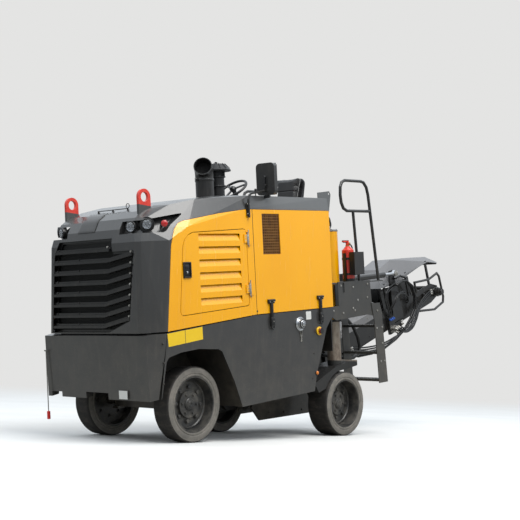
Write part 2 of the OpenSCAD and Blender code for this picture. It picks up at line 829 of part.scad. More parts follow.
module milling_drum() {
    color([0.35, 0.3, 0.27]) hull_frame() translate([-2200, -340, -170])
        rotate([90, 0, 0]) {
            cylinder(r = drum_d / 2 - 80, h = drum_w, center = true);
            cylinder(d = 120, h = drum_w + 40, center = true);
            cylinder(d = 80, h = drum_w + 98, center = true);
            for (i = [0:picks - 1]) {
                z = -drum_w / 2 + 24 + (drum_w - 48) * i / (picks - 1);
                a = i * 360 * 2 / (picks / 2) + (i % 2) * 180;
                rotate([0, 0, a]) translate([drum_d / 2 - 84, 0, z]) {
                    translate([0, -22, -16]) cube([40, 44, 32]);
                    translate([24, 0, 0]) rotate([0, 60, 90]) rotate([0, 0, 0])
                        cylinder(d1 = 30, d2 = 10, h = 52);
                }
            }
        }
}

module drum_bearing() {
    translate([-2200, -340, -170]) rotate([90, 0, 0])
        cylinder(d = 80.1, h = 1000, center = true);
}

module drum_housing() {
    color([0.2, 0.2, 0.2]) hull_frame() {
        difference() {
            side(-60, 20) polygon([
                [-1480, -250], [-1600, -395], [-2600, -430], [-2680, -150], [-2680, 290],
                [-1780, 290], [-1570, -70]]);
            drum_bearing();
        }
        difference() {
            side(-640, 20) polygon([
                [-1800, -330], [-1900, -405], [-2600, -430], [-2680, -150], [-2680, 290],
                [-1800, 290]]);
            drum_bearing();
        }
        box([-1812, -620, -200], [-1800, -60, 290]);
        box([-2680, -620, 278], [-1812, -60, 290]);
        box([-2680, -620, 60], [-2668, -60, 278]);
        box([-2660, -620, -300], [-2640, -60, -100]);
        box([-1912, -640, 289], [-1900, -255, 559]);
        difference() {
            box([-2680, -640, 289], [-2660, -60, 966]);
            box([-2690, -601, 899], [-2650, -569, 970]);
        }
    }
}

module conveyor_carrier() {
    color([0.2, 0.2, 0.2]) hull_frame() {
        difference() {
            union() {
                box([-2980, cy - 90, 905], [-2680, cy + 90, 945]);
                translate([-2980, cy, 905]) cylinder(d = 180, h = 40);
                box([-2980, cy - 90, -260], [-2660, cy + 90, -220]);
                translate([-2980, cy, -260]) cylinder(d = 180, h = 40);
            }
            translate([-2980, cy, -300]) cylinder(d = 60.1, h = 1400);
        }
        box([-2715, cy - 240, -260], [-2660, cy - 90, -220]);
        box([-2715, cy + 90, -260], [-2660, cy + 240, -220]);
    }
}

module conveyor_yoke() {
    w = boom_w / 2;
    color([0.22, 0.22, 0.22]) hull_frame() {
        for (s = [-1, 1]) {
            difference() {
                translate([0, cy + s * (w + 24), 0]) side(-10, 20) polygon([
                    [-2800, 20], [-2800, 200], [-2900, 320], [-2920, 860], [-3010, 1030],
                    [-3090, 1030], [-3060, 860], [-3060, -190], [-2900, -190]]);
                translate([foot_x, cy, foot_z]) rotate([90, 0, 0])
                    cylinder(d = 50.1, h = 2 * boom_w, center = true);
            }
            translate([mast[0], cy + s * (w + 64), mast[1]]) rotate([90, 0, 0])
                cylinder(d = 30, h = 80, center = true);
        }
        box([-3060, cy - w - 20, 850], [-2920, cy + w + 20, 880]);
        box([-3060, cy - w - 20, -190], [-2900, cy + w + 20, -165]);
        translate([-2980, cy, 870]) cylinder(d = 60, h = 90);
        translate([-2980, cy, -275]) cylinder(d = 60, h = 95);
        translate([-2980, cy, -219.5]) cylinder(d = 130, h = 40);
    }
}

// Sits on the boom's foot pivot, local +x along the belt towards the head.
module boom_frame() {
    hull_frame() translate([foot_x, cy, foot_z]) rotate([0, 0, 180])
        rotate([0, -boom_slope, 0]) children();
}

module conveyor_boom() {
    w = boom_w / 2;
    color([0.2, 0.2, 0.2]) boom_frame() {
        for (s = [-1, 1]) {
            translate([0, s * (w - 4), 0]) side(-4, 8) polygon([
                [-55, -70], [-30, -120], [boom_l - 160, -105], [boom_l + 50, -55],
                [boom_l + 50, 60], [boom_l - 100, 130], [300, 150], [-30, 105], [-55, 75]]);
            translate([0, s * (w + 14), 0]) rotate([90, 0, 0])
                cylinder(d = 50, h = 40, center = true);
            // posts that carry the cover
            for (x = [1400, 1900, boom_l - 120]) translate([x, s * (w - 12), 0]) side(-12, 20)
                polygon([[-16, 60], [16, 60], [16, 440], [-16, 440]]);
            // plates that close the trough under the cover
            translate([0, s * (w - 16), 0]) side(-4, 8) polygon([
                [1310, 100], [1960, 100], [1960, 372], [1700, 340], [1310, 396]]);
            // valve block with its couplings on the near side
            if (s < 0) {
                box([1290, -w - 46, -160], [1400, 2 - w, 40]);
                box([1290, -w - 30, -170], [1560, 2 - w, -70]);
            }
            // lift cylinder lug and its pin
            translate([0, s * (w + 18), 0]) side(-10, 20) polygon([
                [lift_eye[0] - 150, -60], [lift_eye[0] + 90, -60],
                [lift_eye[0] + 36, lift_eye[1] + 36], [lift_eye[0] - 36, lift_eye[1] + 36]]);
            translate([0, s * (w + 4), 0]) side(-6, 12) polygon([
                [lift_eye[0] - 140, -60], [lift_eye[0] + 80, -60],
                [lift_eye[0] + 60, 110], [lift_eye[0] - 110, 110]]);
            translate([lift_eye[0], s * (w + 55), lift_eye[1]]) rotate([90, 0, 0])
                cylinder(d = 22, h = 80, center = true);
            // tube guard round the head roller
            g = s * (w + 45);
            tube([[boom_l - 540, s * (w - 2), 118], [boom_l - 528, g, 150],
                [boom_l - 528, g, 275], [boom_l - 190, g, 213], [boom_l + 25, g, 231],
                [boom_l + 62, g, 180], [boom_l + 75, g, -100], [boom_l + 45, g, -165],
                [boom_l - 185, g, -190], [boom_l - 527, g, -100],
                [boom_l - 540, s * (w - 2), -70]], 30, 10, [0.3, 1, 0.1]);
        }
        for (x = [420, 1000, 1700]) rod([x, 8 - w, -20], [x, w - 8, -20], 50);
    }
}

module conveyor_belt() {
    color([0.06, 0.06, 0.06]) boom_frame() {
        difference() {
            union() {
                rotate([90, 0, 0]) cylinder(r = 80, h = 400, center = true);
                translate([boom_l - 40, 0, 0]) rotate([90, 0, 0])
                    cylinder(r = 80, h = 400, center = true);
                box([0, -200, -80], [boom_l - 40, 200, 80]);
            }
            rotate([90, 0, 0]) cylinder(r = 70, h = 500, center = true);
            translate([boom_l - 40, 0, 0]) rotate([90, 0, 0])
                cylinder(r = 70, h = 500, center = true);
            box([0, -250, -70], [boom_l - 40, 250, 70]);
        }
        for (i = [0:9]) translate([60 + i * (boom_l - 225) / 9, -170, 80]) cube([14, 340, 16]);
    }
}

module belt_rollers() {
    color([0.4, 0.4, 0.42]) boom_frame() {
        for (x = [0, boom_l - 40]) translate([x, 0, 0]) rotate([90, 0, 0]) {
            cylinder(r = 69.5, h = 400, center = true);
            cylinder(d = 40, h = boom_w - 16, center = true);
        }
    }
}

// Roofed upper cover along the boom, drawn in by t.
module cover_form(w, t) {
    e = boom_l - 2520;
    hull() {
        side(t - w, 2 * (w - t)) polygon([
            [1293 + t, 320], [1293 + t, 414 - t], [e + 2445, 418 - t],
            [e + 2647 - t, 342 - t], [e + 2647 - t, 320]]);
        side(t / 2 - w * 0.54, w * 1.08 - t) polygon([
            [1300 + t, 340], [1480 + t, 600 - t], [1780, 640 - t], [e + 2570 - t, 450 - t],
            [e + 2840 - 2 * t, 300 - t], [e + 2790 - t, 262]]);
    }
}

module conveyor_covers() {
    w = boom_w / 2 + 7;
    e = boom_l - 2520;
    color([0.4, 0.4, 0.4]) boom_frame() {
        translate([330, 0, 0]) rotate([90, 0, 90]) linear_extrude(height = 900)
            polygon([
                [-w, 120], [-w, 205], [-w / 2, 275], [w / 2, 275], [w, 205],
                [w, 120], [w - 7, 120], [w - 7, 202], [w / 2 - 2, 268],
                [2 - w / 2, 268], [7 - w, 202], [7 - w, 120]]);
        difference() {
            cover_form(w - 2, 0);
            cover_form(w - 2, 6);
            side(-900, 1800) polygon([
                [1200, 200], [1200, 414], [1294, 414], [1660, 358], [1920, 390],
                [e + 2220, 412], [e + 2440, 414], [e + 2640, 341], [e + 2820, 275],
                [e + 2900, 200]]);
        }
    }
}

// Hoses along the boom's near side, held by its plates.
module boom_hoses() {
    w = boom_w / 2;
    color([0.05, 0.05, 0.05]) boom_frame() mirror([0, 1, 0]) {
        for (k = [0, 1]) let (y = w + 60 + 32 * k) tube([
            [1590 - 40 * k, w + 28.3, 450 - 70 * k], [1590 - 40 * k, w + 50 + 32 * k, 450 - 70 * k],
            [1620 - 40 * k, y, 456 - 66 * k], [1690 - 30 * k, y, 456 - 60 * k],
            [1775 - 20 * k, y, 410 - 40 * k], [1864, y, 272], [1905 - 20 * k, y, 135],
            [1845, y, -29], [1720, y, -110], [1577, y, -177 + 10 * k],
            [1308, y - 8, -245 + 16 * k], [1096, y - 16, -268 + 20 * k],
            [820, y - 20, -240 + 24 * k], [560, y - 26, -180 + 30 * k],
            [420 - 60 * k, y - 30, -115 + 40 * k], [380 - 60 * k, w + 26, -95 + 40 * k],
            [380 - 60 * k, w + 0.3, -95 + 40 * k]], 26, 10, [0, 0.2, 1]);
        for (k = [0, 1]) let (x = 36 * k) tube([
            [1345 + x, w + 34, 40.3], [1345 + x, w + 34, 66], [1318 + x, w + 48, 126],
            [1300 + x, w + 50, 254], [1330 + x, w + 50, 340], [1420, w + 50, 388 - 34 * k],
            [1500, w + 50, 396 - 34 * k], [1530, w + 48, 396 - 34 * k],
            [1530, w + 28.3, 396 - 34 * k]], 20, 8, [0.2, 1, 0.2]);
    }
}

eye_x = foot_x - lift_eye[0] * cos(boom_slope) + lift_eye[1] * sin(boom_slope);
eye_z = foot_z + lift_eye[0] * sin(boom_slope) + lift_eye[1] * cos(boom_slope);
cyl_l = norm([mast[0] - eye_x, mast[1] - eye_z]);
cyl_a = atan2(eye_z - mast[1], mast[0] - eye_x);

// Sits on the cylinders' rear pins, local +x towards the rods' eyes.
module cylinder_frame() {
    hull_frame() translate([mast[0], cy, mast[1]]) rotate([0, 0, 180])
        rotate([0, -cyl_a, 0]) for (s = [-1, 1]) translate([0, s * (boom_w / 2 + 75), 0])
            children();
}

module lift_barrels() {
    color([0.15, 0.15, 0.15]) cylinder_frame() difference() {
        union() {
            rotate([90, 0, 0]) cylinder(d = 66, h = 44, center = true);
            rod([22, 0, 0], [cyl_l - 242, 0, 0], 70);
        }
        rotate([90, 0, 0]) cylinder(d = 30.1, h = 60, center = true);
        rod([60, 0, 0], [cyl_l - 282, 0, 0], 42);
        rod([cyl_l - 292, 0, 0], [cyl_l - 182, 0, 0], 36.1);
    }
}

module lift_rods() {
    color([0.75, 0.75, 0.77]) cylinder_frame() difference() {
        union() {
            rod([330, 0, 0], [cyl_l - 24, 0, 0], 36);
            translate([cyl_l, 0, 0]) rotate([90, 0, 0]) cylinder(d = 80, h = 34, center = true);
        }
        translate([cyl_l, 0, 0]) rotate([90, 0, 0]) cylinder(d = 54, h = 60, center = true);
    }
}

chassis();
front_bumper();
side_skirts();
engine_hood();
side_panels();
vent_screens();
door_left();
door_right();
front_grille();
radiator();
engine_block();
lifting_lugs();
lamp_pods();
side_fittings();
rear_gussets();
sight_rod();
exhaust_elbow();
air_precleaner();
control_desk();
steering_wheel();
seat_base();
seat_cushion();
seat_back();
mirrors();
handrails();
platform();
ladder();
extinguisher();
front_axle();
knuckle_left();
knuckle_right();
track_rod();
tyre_front_left();
rim_front_left();
tyre_front_right();
rim_front_right();
tyre_rear_left();
rim_rear_left();
tyre_rear_right();
rim_rear_right();
leg_left();
leg_right();
leg_sleeves();
body_hoses();
milling_drum();
drum_housing();
conveyor_carrier();
conveyor_yoke();
conveyor_boom();
conveyor_belt();
belt_rollers();
conveyor_covers();
boom_hoses();
lift_barrels();
lift_rods();
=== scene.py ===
import math

import bpy
import bmesh
from mathutils import Matrix, Vector


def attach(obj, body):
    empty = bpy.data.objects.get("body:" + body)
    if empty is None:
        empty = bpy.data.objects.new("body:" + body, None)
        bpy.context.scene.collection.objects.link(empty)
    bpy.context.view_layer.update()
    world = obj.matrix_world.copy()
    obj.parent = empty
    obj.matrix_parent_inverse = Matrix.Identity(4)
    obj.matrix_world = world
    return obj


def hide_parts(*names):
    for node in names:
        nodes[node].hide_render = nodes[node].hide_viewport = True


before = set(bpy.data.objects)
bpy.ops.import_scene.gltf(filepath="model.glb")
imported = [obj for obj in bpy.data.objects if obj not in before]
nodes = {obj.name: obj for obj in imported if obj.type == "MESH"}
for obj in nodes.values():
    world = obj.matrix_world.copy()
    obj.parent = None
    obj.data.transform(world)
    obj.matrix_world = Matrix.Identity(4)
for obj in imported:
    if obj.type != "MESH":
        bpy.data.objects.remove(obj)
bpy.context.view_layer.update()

# ---- Standpoint -------------------------------------------------------------
# A long lens held low, off the machine's front left corner and looking a little
# up along its side. The yaw, pitch and roll are measured from the front axle.
yaw, pitch, roll = (math.radians(a) for a in (49.29, 5.971, 1.871))
ahead = Vector((
    -math.sin(yaw) * math.cos(pitch), -math.cos(yaw) * math.cos(pitch), math.sin(pitch)
))
right = Vector((-math.cos(yaw), math.sin(yaw), 0))
up = right.cross(ahead)
across = right * math.cos(roll) + up * math.sin(roll)
upward = up * math.cos(roll) - right * math.sin(roll)
SENSOR, FOCAL, PICTURE = 36, 1050.5, 520  # the first in millimetres, the others in pixels
lens = bpy.data.cameras.new("lens")
lens.sensor_width = SENSOR
lens.lens = SENSOR * FOCAL / PICTURE
camera = bpy.data.objects.new("camera", lens)
bpy.context.scene.collection.objects.link(camera)
camera.matrix_world = Matrix.Translation((8.927, 7.018, 0.647)) @ Matrix((
    across, upward, -ahead
)).transposed().to_4x4()
bpy.context.scene.camera = camera
bpy.context.scene.view_settings.view_transform = "Standard"


# ---- Floor and light --------------------------------------------------------
# A pale studio floor under an even bright sky, with one broad soft lamp high
# on the near side that gives the panels their fall of light.
class Wire:
    """One output of a shader node, which can be worked out with like a number."""

    def __init__(self, finish, socket):
        self.finish = finish
        self.socket = socket

    def sum(self, operation, *values):
        return self.finish.node("ShaderNodeMath", {"operation": operation}, *values)

    def __add__(self, other):
        return self.sum("ADD", self, other)

    def __rsub__(self, other):
        return self.sum("SUBTRACT", other, self)

    def __mul__(self, other):
        return self.sum("MULTIPLY", self, other)

    def __lt__(self, other):
        return self.sum("LESS_THAN", self, other)

    def ramp(self, low, high):
        """0 below low and 1 above high, smooth between them."""
        return self.finish.node(
            "ShaderNodeMapRange", {"interpolation_type": "SMOOTHSTEP"}, self, low, high
        )


class Finish:
    """A surface finish. Even values are set on the shader and wired ones are fed."""

    def __init__(self, name, **even):
        self.material = bpy.data.materials.new(name)
        self.material.use_nodes = True
        self.tree = self.material.node_tree
        self.tree.nodes.clear()
        self.end = self.tree.nodes.new("ShaderNodeOutputMaterial")
        self.shader = self.tree.nodes.new("ShaderNodeBsdfPrincipled")
        self.tree.links.new(self.shader.outputs[0], self.end.inputs["Surface"])
        self.use(**even)

    def feed(self, socket, value):
        if isinstance(value, Wire):
            self.tree.links.new(value.socket, socket)
        else:
            socket.default_value = value

    def node(self, kind, settings=None, *values, take=0, **named):
        made = self.tree.nodes.new(kind)
        for key, value in (settings or {}).items():
            setattr(made, key, value)
        for socket, value in zip(made.inputs, values):
            self.feed(socket, value)
        for key, value in named.items():
            self.feed(made.inputs[key], value)
        return Wire(self, made.outputs[take])

    def place(self, scale=(1, 1, 1)):
        spot = self.node("ShaderNodeTexCoord", take="Object")
        return self.node("ShaderNodeMapping", None, spot, Scale=scale)

    def axis(self, letter):
        return self.node("ShaderNodeSeparateXYZ", None, self.place(), take=letter)

    def noise(self, scale, detail, rough=0.5, spot=None):
        spot = spot or self.place()
        return self.node(
            "ShaderNodeTexNoise", None, Vector=spot, Scale=scale, Detail=detail, Roughness=rough
        )

    def mix(self, mask, *tones):
        """Goes from one tone to another, each a wire or a colour as a screen shows it."""
        made = self.tree.nodes.new("ShaderNodeMix")
        made.data_type = "RGBA"
        self.feed(made.inputs[0], mask)
        for socket, tone in zip(made.inputs[6:8], tones):
            self.feed(socket, tone if isinstance(tone, Wire) else colour(*tone))
        return Wire(self, made.outputs[2])

    def use(self, **wired):
        for socket, value in wired.items():
            self.feed(self.shader.inputs[socket.replace("_", " ")], value)

    def bump(self, height, strength, deep):
        self.use(Normal=self.node(
            "ShaderNodeBump", None, Strength=strength, Distance=deep, Height=height
        ))

    def on(self, *names):
        for name in names:
            for slot in nodes[name].material_slots:
                slot.material = self.material


def colour(red, green, blue):
    """A colour as a screen shows it, from 0 to 255, in the shader's linear light."""
    return tuple(
        c / 255 / 12.92 if c < 11 else ((c / 255 + 0.055) / 1.055) ** 2.4
        for c in (red, green, blue)
    ) + (1,)


BACKDROP = colour(228, 228, 227)
bpy.ops.object.select_all(action="DESELECT")
bpy.ops.mesh.primitive_plane_add(size=60, location=(0, 0, -0.0005))
floor = bpy.context.object
floor.name = "studio_floor"
pale = Finish("pale floor", Roughness=0.9)
seen = pale.node("ShaderNodeLightPath", take="Is Camera Ray")
pale.use(Base_Color=pale.mix(seen, (150, 149, 144), pale.mix(
    pale.noise(0.8, 5).ramp(0.3, 0.7), (226, 226, 224), (232, 232, 230)
)))
distance = pale.node("ShaderNodeVectorMath", {"operation": "LENGTH"}, pale.place(), take="Value")
fade = pale.node(
    "ShaderNodeMixShader", None, seen * distance.ramp(5, 20),
    Wire(pale, pale.shader.outputs[0]), pale.node("ShaderNodeEmission", None, BACKDROP),
)
pale.tree.links.new(fade.socket, pale.end.inputs["Surface"])
floor.data.materials.append(pale.material)

sky = bpy.data.worlds.new("even sky")
bpy.context.scene.world = sky
sky.use_nodes = True
sky.node_tree.nodes.clear()
sky_way, sky_part, sky_high, sky_dim, sky_seen, sky_path, sky_mix, sky_end = (
    sky.node_tree.nodes.new("ShaderNode" + kind) for kind in (
        "TexCoord", "SeparateXYZ", "MapRange", "Background", "Background", "LightPath",
        "MixShader", "OutputWorld",
    )
)
sky_dim.inputs["Color"].default_value = (0.88, 0.94, 1.0, 1)
sky_seen.inputs["Color"].default_value = BACKDROP
# From below the horizon to halfway up, the light grows from the third value to the last.
for socket, value in enumerate((-0.05, 0.5, 0.18, 1.2), 1):
    sky_high.inputs[socket].default_value = value
for out, into in (
    (sky_way.outputs["Generated"], sky_part.inputs[0]),
    (sky_part.outputs["Z"], sky_high.inputs[0]),
    (sky_high.outputs[0], sky_dim.inputs["Strength"]),
    (sky_path.outputs["Is Camera Ray"], sky_mix.inputs[0]),
    (sky_dim.outputs[0], sky_mix.inputs[1]),
    (sky_seen.outputs[0], sky_mix.inputs[2]),
    (sky_mix.outputs[0], sky_end.inputs["Surface"]),
):
    sky.node_tree.links.new(out, into)


def lamp_panel(name, spot, aim, size, power, tint):
    """A square soft lamp at a spot, turned towards the point that it lights."""
    panel = bpy.data.lights.new(name, "AREA")
    panel.size = size
    panel.energy = power
    panel.color = tint
    holder = bpy.data.objects.new(name, panel)
    bpy.context.scene.collection.objects.link(holder)
    holder.location = spot
    holder.rotation_euler = (Vector(aim) - Vector(spot)).to_track_quat("-Z", "Y").to_euler()


lamp_panel("high lamp", (1.5, 4.5, 8.5), (0, 0, 1), 6, 640, (1, 0.98, 0.95))
lamp_panel("front lamp", (9.0, -3.0, 6.0), (1, 0, 1), 4, 35, (0.95, 0.98, 1))


# ---- Painted bodywork -------------------------------------------------------
# Folded sheet steel. The hood, skirts and bumper are satin dark grey and the
# side panels and doors gloss yellow, all sprayed over a fine orange peel.
def tilted(spot, degrees, axis="Y"):
    """A place in metres, turned about one of its axes."""
    return Matrix.Translation(spot) @ Matrix.Rotation(math.radians(degrees), 4, axis)


AXLE, HIGH, PITCH = 2.283, 0.33, 7  # the front axle's x and z, and how far the nose is down
BODY = tilted((AXLE, 0, HIGH), PITCH)
DUST = (138, 128, 112)


def paint(name, main, second, rough, coat, dusty, sill, painted_reflection=None):
    """Sprayed paint with cloudy tone, road dust low down, faint run marks and, where a last colour
    is given, a painted sky reflection high at the back.
    """
    made = Finish(name, Coat_Roughness=0.12)
    cloud = made.noise(1.6, 4).ramp(0.35, 0.7)
    streak = made.noise(5, 4, spot=made.place((6, 6, 0.7))).ramp(0.5, 0.8)
    speck = made.noise(90, 2).ramp(0.64, 0.72)
    low = 1 - made.axis("Z").ramp(*sill)
    film = (low * 0.8 + 0.08) * (made.noise(7, 6, 0.65).ramp(0.32, 0.75) * 0.7 + 0.3) * dusty
    film = film + streak * 0.06 + speck * low * 0.18
    tone = made.mix(cloud * 0.6, main, second)
    # painted light: a lighter band high up towards the back stands in for the sky's reflection in
    # the gloss
    if painted_reflection:
        high = made.axis("Z").ramp(1.85, 2.05) * (1 - made.axis("X").ramp(1.2, 2.0))
        tone = made.mix(high, tone, painted_reflection)
    made.use(
        Base_Color=made.mix(film, tone, DUST),
        Roughness=film * 0.45 + streak * 0.05 + rough,
        Coat_Weight=(1 - film).ramp(0.2, 0.95) * coat,
    )
    made.bump(made.noise(260, 2) * 0.25 + speck * 0.4, 0.10, 0.0006)
    return made


yellow = paint("yellow paint", (250, 176, 0), (244, 168, 0), 0.24, 0.5, 0.08, (0.5, 1.3))
yellow.on("side_panels", "door_left", "door_right", "leg_sleeves")
# its last colour is the painted sky reflection on the upper rear band of the hood
grey = paint(
    "dark grey paint", (54, 54, 54), (48, 48, 48), 0.3, 0.6, 0.14, (0.3, 1.6), (88, 90, 91)
)
grey.on("engine_hood", "front_bumper", "side_skirts", "rear_gussets")
black = paint("black frame paint", (26, 26, 26), (21, 21, 21), 0.34, 0.4, 0.4, (0.1, 1.1))
black.on(
    "chassis", "front_axle", "knuckle_left", "knuckle_right", "track_rod",
    "conveyor_carrier", "conveyor_yoke", "conveyor_boom",
    "control_desk", "seat_base", "handrails", "exhaust_elbow", "mirrors",
    "lift_barrels", "lamp_pods", "side_fittings", "engine_block", "drum_housing",
)
plate_grey = paint("plate grey paint", (56, 56, 55), (50, 50, 49), 0.38, 0.3, 0.35, (0.4, 1.7))
plate_grey.on("platform", "ladder")
grille_black = paint("grille black", (22, 22, 23), (18, 18, 19), 0.32, 0.3, 0.1, (0.4, 1.4))
grille_black.on("front_grille")
worn_edge = nodes["front_grille"].modifiers.new("rounded edges", "BEVEL")
worn_edge.width, worn_edge.segments, worn_edge.angle_limit = 0.0035, 2, math.radians(40)

red = paint("red paint", (222, 58, 40), (208, 48, 34), 0.3, 0.5, 0.12, (0.5, 1.2))
red.on("extinguisher")
cover = paint("cover grey", (118, 118, 120), (108, 108, 110), 0.5, 0.1, 0.2, (0.9, 2.0))
cover.on("conveyor_covers")
sight = Finish("sight rod")
TAG_TOP = 0.222  # the rod is painted red below this height
tag = sight.axis("Z") < TAG_TOP
sight.use(
    Base_Color=sight.mix(tag, (150, 148, 143), (214, 44, 34)),
    Metallic=0.8 - tag * 0.8,
    Roughness=sight.noise(40, 3) * 0.2 + 0.32,
)
sight.on("sight_rod")
lug_red = Finish("lug paint", Coat_Weight=0.3)
lug_high = lug_red.axis("Z").ramp(2.009, 2.011)
lug_tone = lug_red.mix(lug_red.noise(14, 4).ramp(0.3, 0.7), (222, 64, 46), (206, 52, 38))
lug_red.use(
    Base_Color=lug_red.mix(lug_high, (70, 70, 69), lug_tone),
    Roughness=lug_red.noise(30, 3) * 0.2 + 0.3,
)
lug_red.bump(lug_red.noise(180, 2), 0.12, 0.0006)
lug_red.on("lifting_lugs")


# ---- Steel, rubber and screens ----------------------------------------------
# Bare and worked parts: dusty leg columns, chromed piston rods, rubber belt and
# hoses, cast rims, the drum, the fan screens and the cooler core.
def mottled(name, tones, cloud, shine, ramp=None, grain=None, stretch=(1, 1, 1), **even):
    """Two tones mixed by one noise.

    A noise is given by scale, detail and, if it isn't 0.5, roughness. Shine is how
    rough the surface is: a noise of its own, or else the cloud, times the last value
    but one plus the last. Grain is a noise, then a bump's strength and depth.
    """
    made = Finish(name, **even)
    made.mask = made.noise(*cloud, spot=made.place(stretch))
    if ramp:
        made.mask = made.mask.ramp(*ramp)
    *own, times, plus = shine
    made.use(
        Base_Color=made.mix(made.mask, *tones),
        Roughness=(made.noise(*own) if own else made.mask) * times + plus,
    )
    if grain:
        made.bump(made.noise(*grain[:-2]), *grain[-2:])
    return made


steel = Finish("dusty column steel")
steel_stain = steel.noise(9, 6, 0.7, steel.place((1, 1, 0.45))).ramp(0.38, 0.72)
steel_tone = steel.mix(steel_stain, (168, 156, 142), (104, 88, 76))
steel_arm = 1 - steel.axis("Z").ramp(0.768, 0.774)
steel.use(
    Base_Color=steel.mix(steel_arm, steel_tone, (44, 43, 42)),
    Metallic=(0.55 - steel_stain * 0.35) * (1 - steel_arm),
    Roughness=steel_stain * 0.3 + 0.36,
)
steel.bump(steel.noise(120, 3), 0.15, 0.0008)
steel.on("leg_left", "leg_right")

chrome = Finish("piston chrome", Metallic=1.0, Base_Color=colour(205, 207, 210))
chrome.use(Roughness=chrome.noise(60, 3, spot=chrome.place((8, 1, 1))) * 0.12 + 0.08)
chrome.on("lift_rods")

roller = Finish("roller steel", Metallic=0.8, Base_Color=colour(150, 148, 145))
roller.use(Roughness=roller.noise(40, 3) * 0.2 + 0.35)
roller.on("belt_rollers")

belt = mottled(
    "conveyor belt rubber", ((34, 33, 32), (78, 72, 64)), (12, 6, 0.7), (40, 3, 0.2, 0.68),
    ramp=(0.4, 0.75), grain=(240, 2, 0.2, 0.001),
)
belt.on("conveyor_belt")
hose = mottled(
    "hydraulic hose rubber", ((26, 26, 27), (52, 50, 47)), (26, 4), (0.25, 0.38),
    ramp=(0.5, 0.8), grain=(420, 2, 0.18, 0.0006),
)
hose.on("boom_hoses", "body_hoses")

screen = Finish("woven fan screen", Metallic=0.35, Roughness=0.55)
weave = screen.node("ShaderNodeTexWave", {"bands_direction": "X"}, screen.place(), 90)
screen_dust = screen.noise(18, 3).ramp(0.4, 0.7)
screen.use(Base_Color=screen.mix(screen_dust, (122, 82, 34), (96, 62, 26)))
screen.bump(weave, 0.3, 0.001)
screen.on("vent_screens")

core = Finish("cooler core", Metallic=0.2, Roughness=0.6)
fins = core.node("ShaderNodeTexWave", {"bands_direction": "Y"}, core.place(), 60)
core.use(Base_Color=core.mix(fins.ramp(0.3, 0.7), (12, 12, 12), (34, 34, 33)))
core.bump(fins, 0.5, 0.003)
core.on("radiator")

cast = mottled(
    "cast rim paint", ((48, 48, 48), (98, 94, 87)), (10, 6, 0.7), (0.35, 0.3),
    ramp=(0.35, 0.75), grain=(90, 4, 0.12, 0.001),
)
cast.on("rim_front_left", "rim_front_right", "rim_rear_left", "rim_rear_right")
drum_steel = mottled(
    "worn drum steel", ((96, 90, 84), (92, 62, 44)), (16, 6, 0.7), (0.35, 0.4),
    ramp=(0.38, 0.68), grain=(110, 4, 0.3, 0.0015),
)
drum_steel.use(Metallic=0.7 - drum_steel.mask * 0.6)
drum_steel.on("milling_drum")
plastic = mottled(
    "moulded black plastic", ((20, 20, 21), (27, 27, 28)), (12, 4), (60, 3, 0.15, 0.28),
    grain=(300, 2, 0.15, 0.0005),
)
plastic.on("air_precleaner", "steering_wheel")


# ---- Tyres ------------------------------------------------------------------
# Solid rubber pressed on to a steel band, worn smooth and dark on the tread and
# dusty on the flanks, with a moulded step round the flank and rounded shoulders.
def fresh(kind, **size):
    """Adds one primitive with nothing else selected."""
    bpy.ops.object.select_all(action="DESELECT")
    getattr(bpy.ops.mesh, "primitive_" + kind + "_add")(**size)
    return bpy.context.object


def line(points, closed):
    """Draws one vertex out along the points, in millimetres, and stays in edit mode."""
    piece = fresh("plane", size=0.1)
    spots = [Vector(p) / 1000 for p in points]
    bpy.ops.object.mode_set(mode="EDIT")
    bpy.ops.mesh.select_all(action="SELECT")
    bpy.ops.mesh.merge(type="CENTER")
    bpy.ops.transform.translate(value=spots[0])
    for a, b in zip(spots, spots[1:] + spots[:1] * closed):
        bpy.ops.mesh.extrude_region_move(TRANSFORM_OT_translate={"value": b - a})
    bpy.ops.mesh.select_all(action="SELECT")
    bpy.ops.mesh.remove_doubles(threshold=1e-6)
    return piece


def turned(outline, steps, closed=False):
    """A round piece spun from (radius, height) points about its own +Z."""
    piece = line([(r, 0, z) for r, z in outline], closed)
    bpy.ops.mesh.spin(steps=steps, angle=2 * math.pi, center=(0, 0, 0), axis=(0, 0, 1))
    bpy.ops.mesh.select_all(action="SELECT")
    bpy.ops.mesh.remove_doubles(threshold=1e-5)
    bpy.ops.mesh.normals_make_consistent(inside=False)
    bpy.ops.object.mode_set(mode="OBJECT")
    return piece


def active(piece):
    bpy.ops.object.select_all(action="DESELECT")
    piece.select_set(True)
    bpy.context.view_layer.objects.active = piece


def changed(piece, kind, **settings):
    """Applies one modifier to a piece."""
    change = piece.modifiers.new("change", kind)
    for key, value in settings.items():
        setattr(change, key, value)
    active(piece)
    bpy.ops.object.modifier_apply(modifier="change")
    return piece


def eased(piece, width, segments=2, angle=35):
    """Rounds off a piece's sharp edges, width in millimetres."""
    limit = math.radians(angle)
    return changed(piece, "BEVEL", width=width / 1000, segments=segments, angle_limit=limit)


def spread(piece, places):
    """Copies a piece to each place and keeps the copies as its one mesh."""
    gathered = bmesh.new()
    for place in places:
        copy = piece.data.copy()
        copy.transform(place)
        if place.to_3x3().determinant() < 0:
            copy.flip_normals()
        gathered.from_mesh(copy)
        bpy.data.meshes.remove(copy)
    gathered.to_mesh(piece.data)
    gathered.free()
    return piece


def joined(*pieces):
    """One mesh of several pieces, each carried along with its own place."""
    active(pieces[0])
    for piece in pieces:
        piece.select_set(True)
    bpy.ops.object.join()
    return pieces[0]


def settle(piece, name, finish, body="body", place=BODY, angle=38):
    """Finishes a piece: into its place, smoothed, painted and riding on its body."""
    place = place @ piece.matrix_world
    piece.data.transform(place)
    piece.matrix_world = Matrix()
    if place.to_3x3().determinant() < 0:
        piece.data.flip_normals()
    piece.name = piece.data.name = name
    active(piece)
    bpy.ops.object.shade_smooth_by_angle(angle=math.radians(angle))
    piece.data.materials.clear()
    piece.data.materials.append(finish.material)
    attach(piece, body)


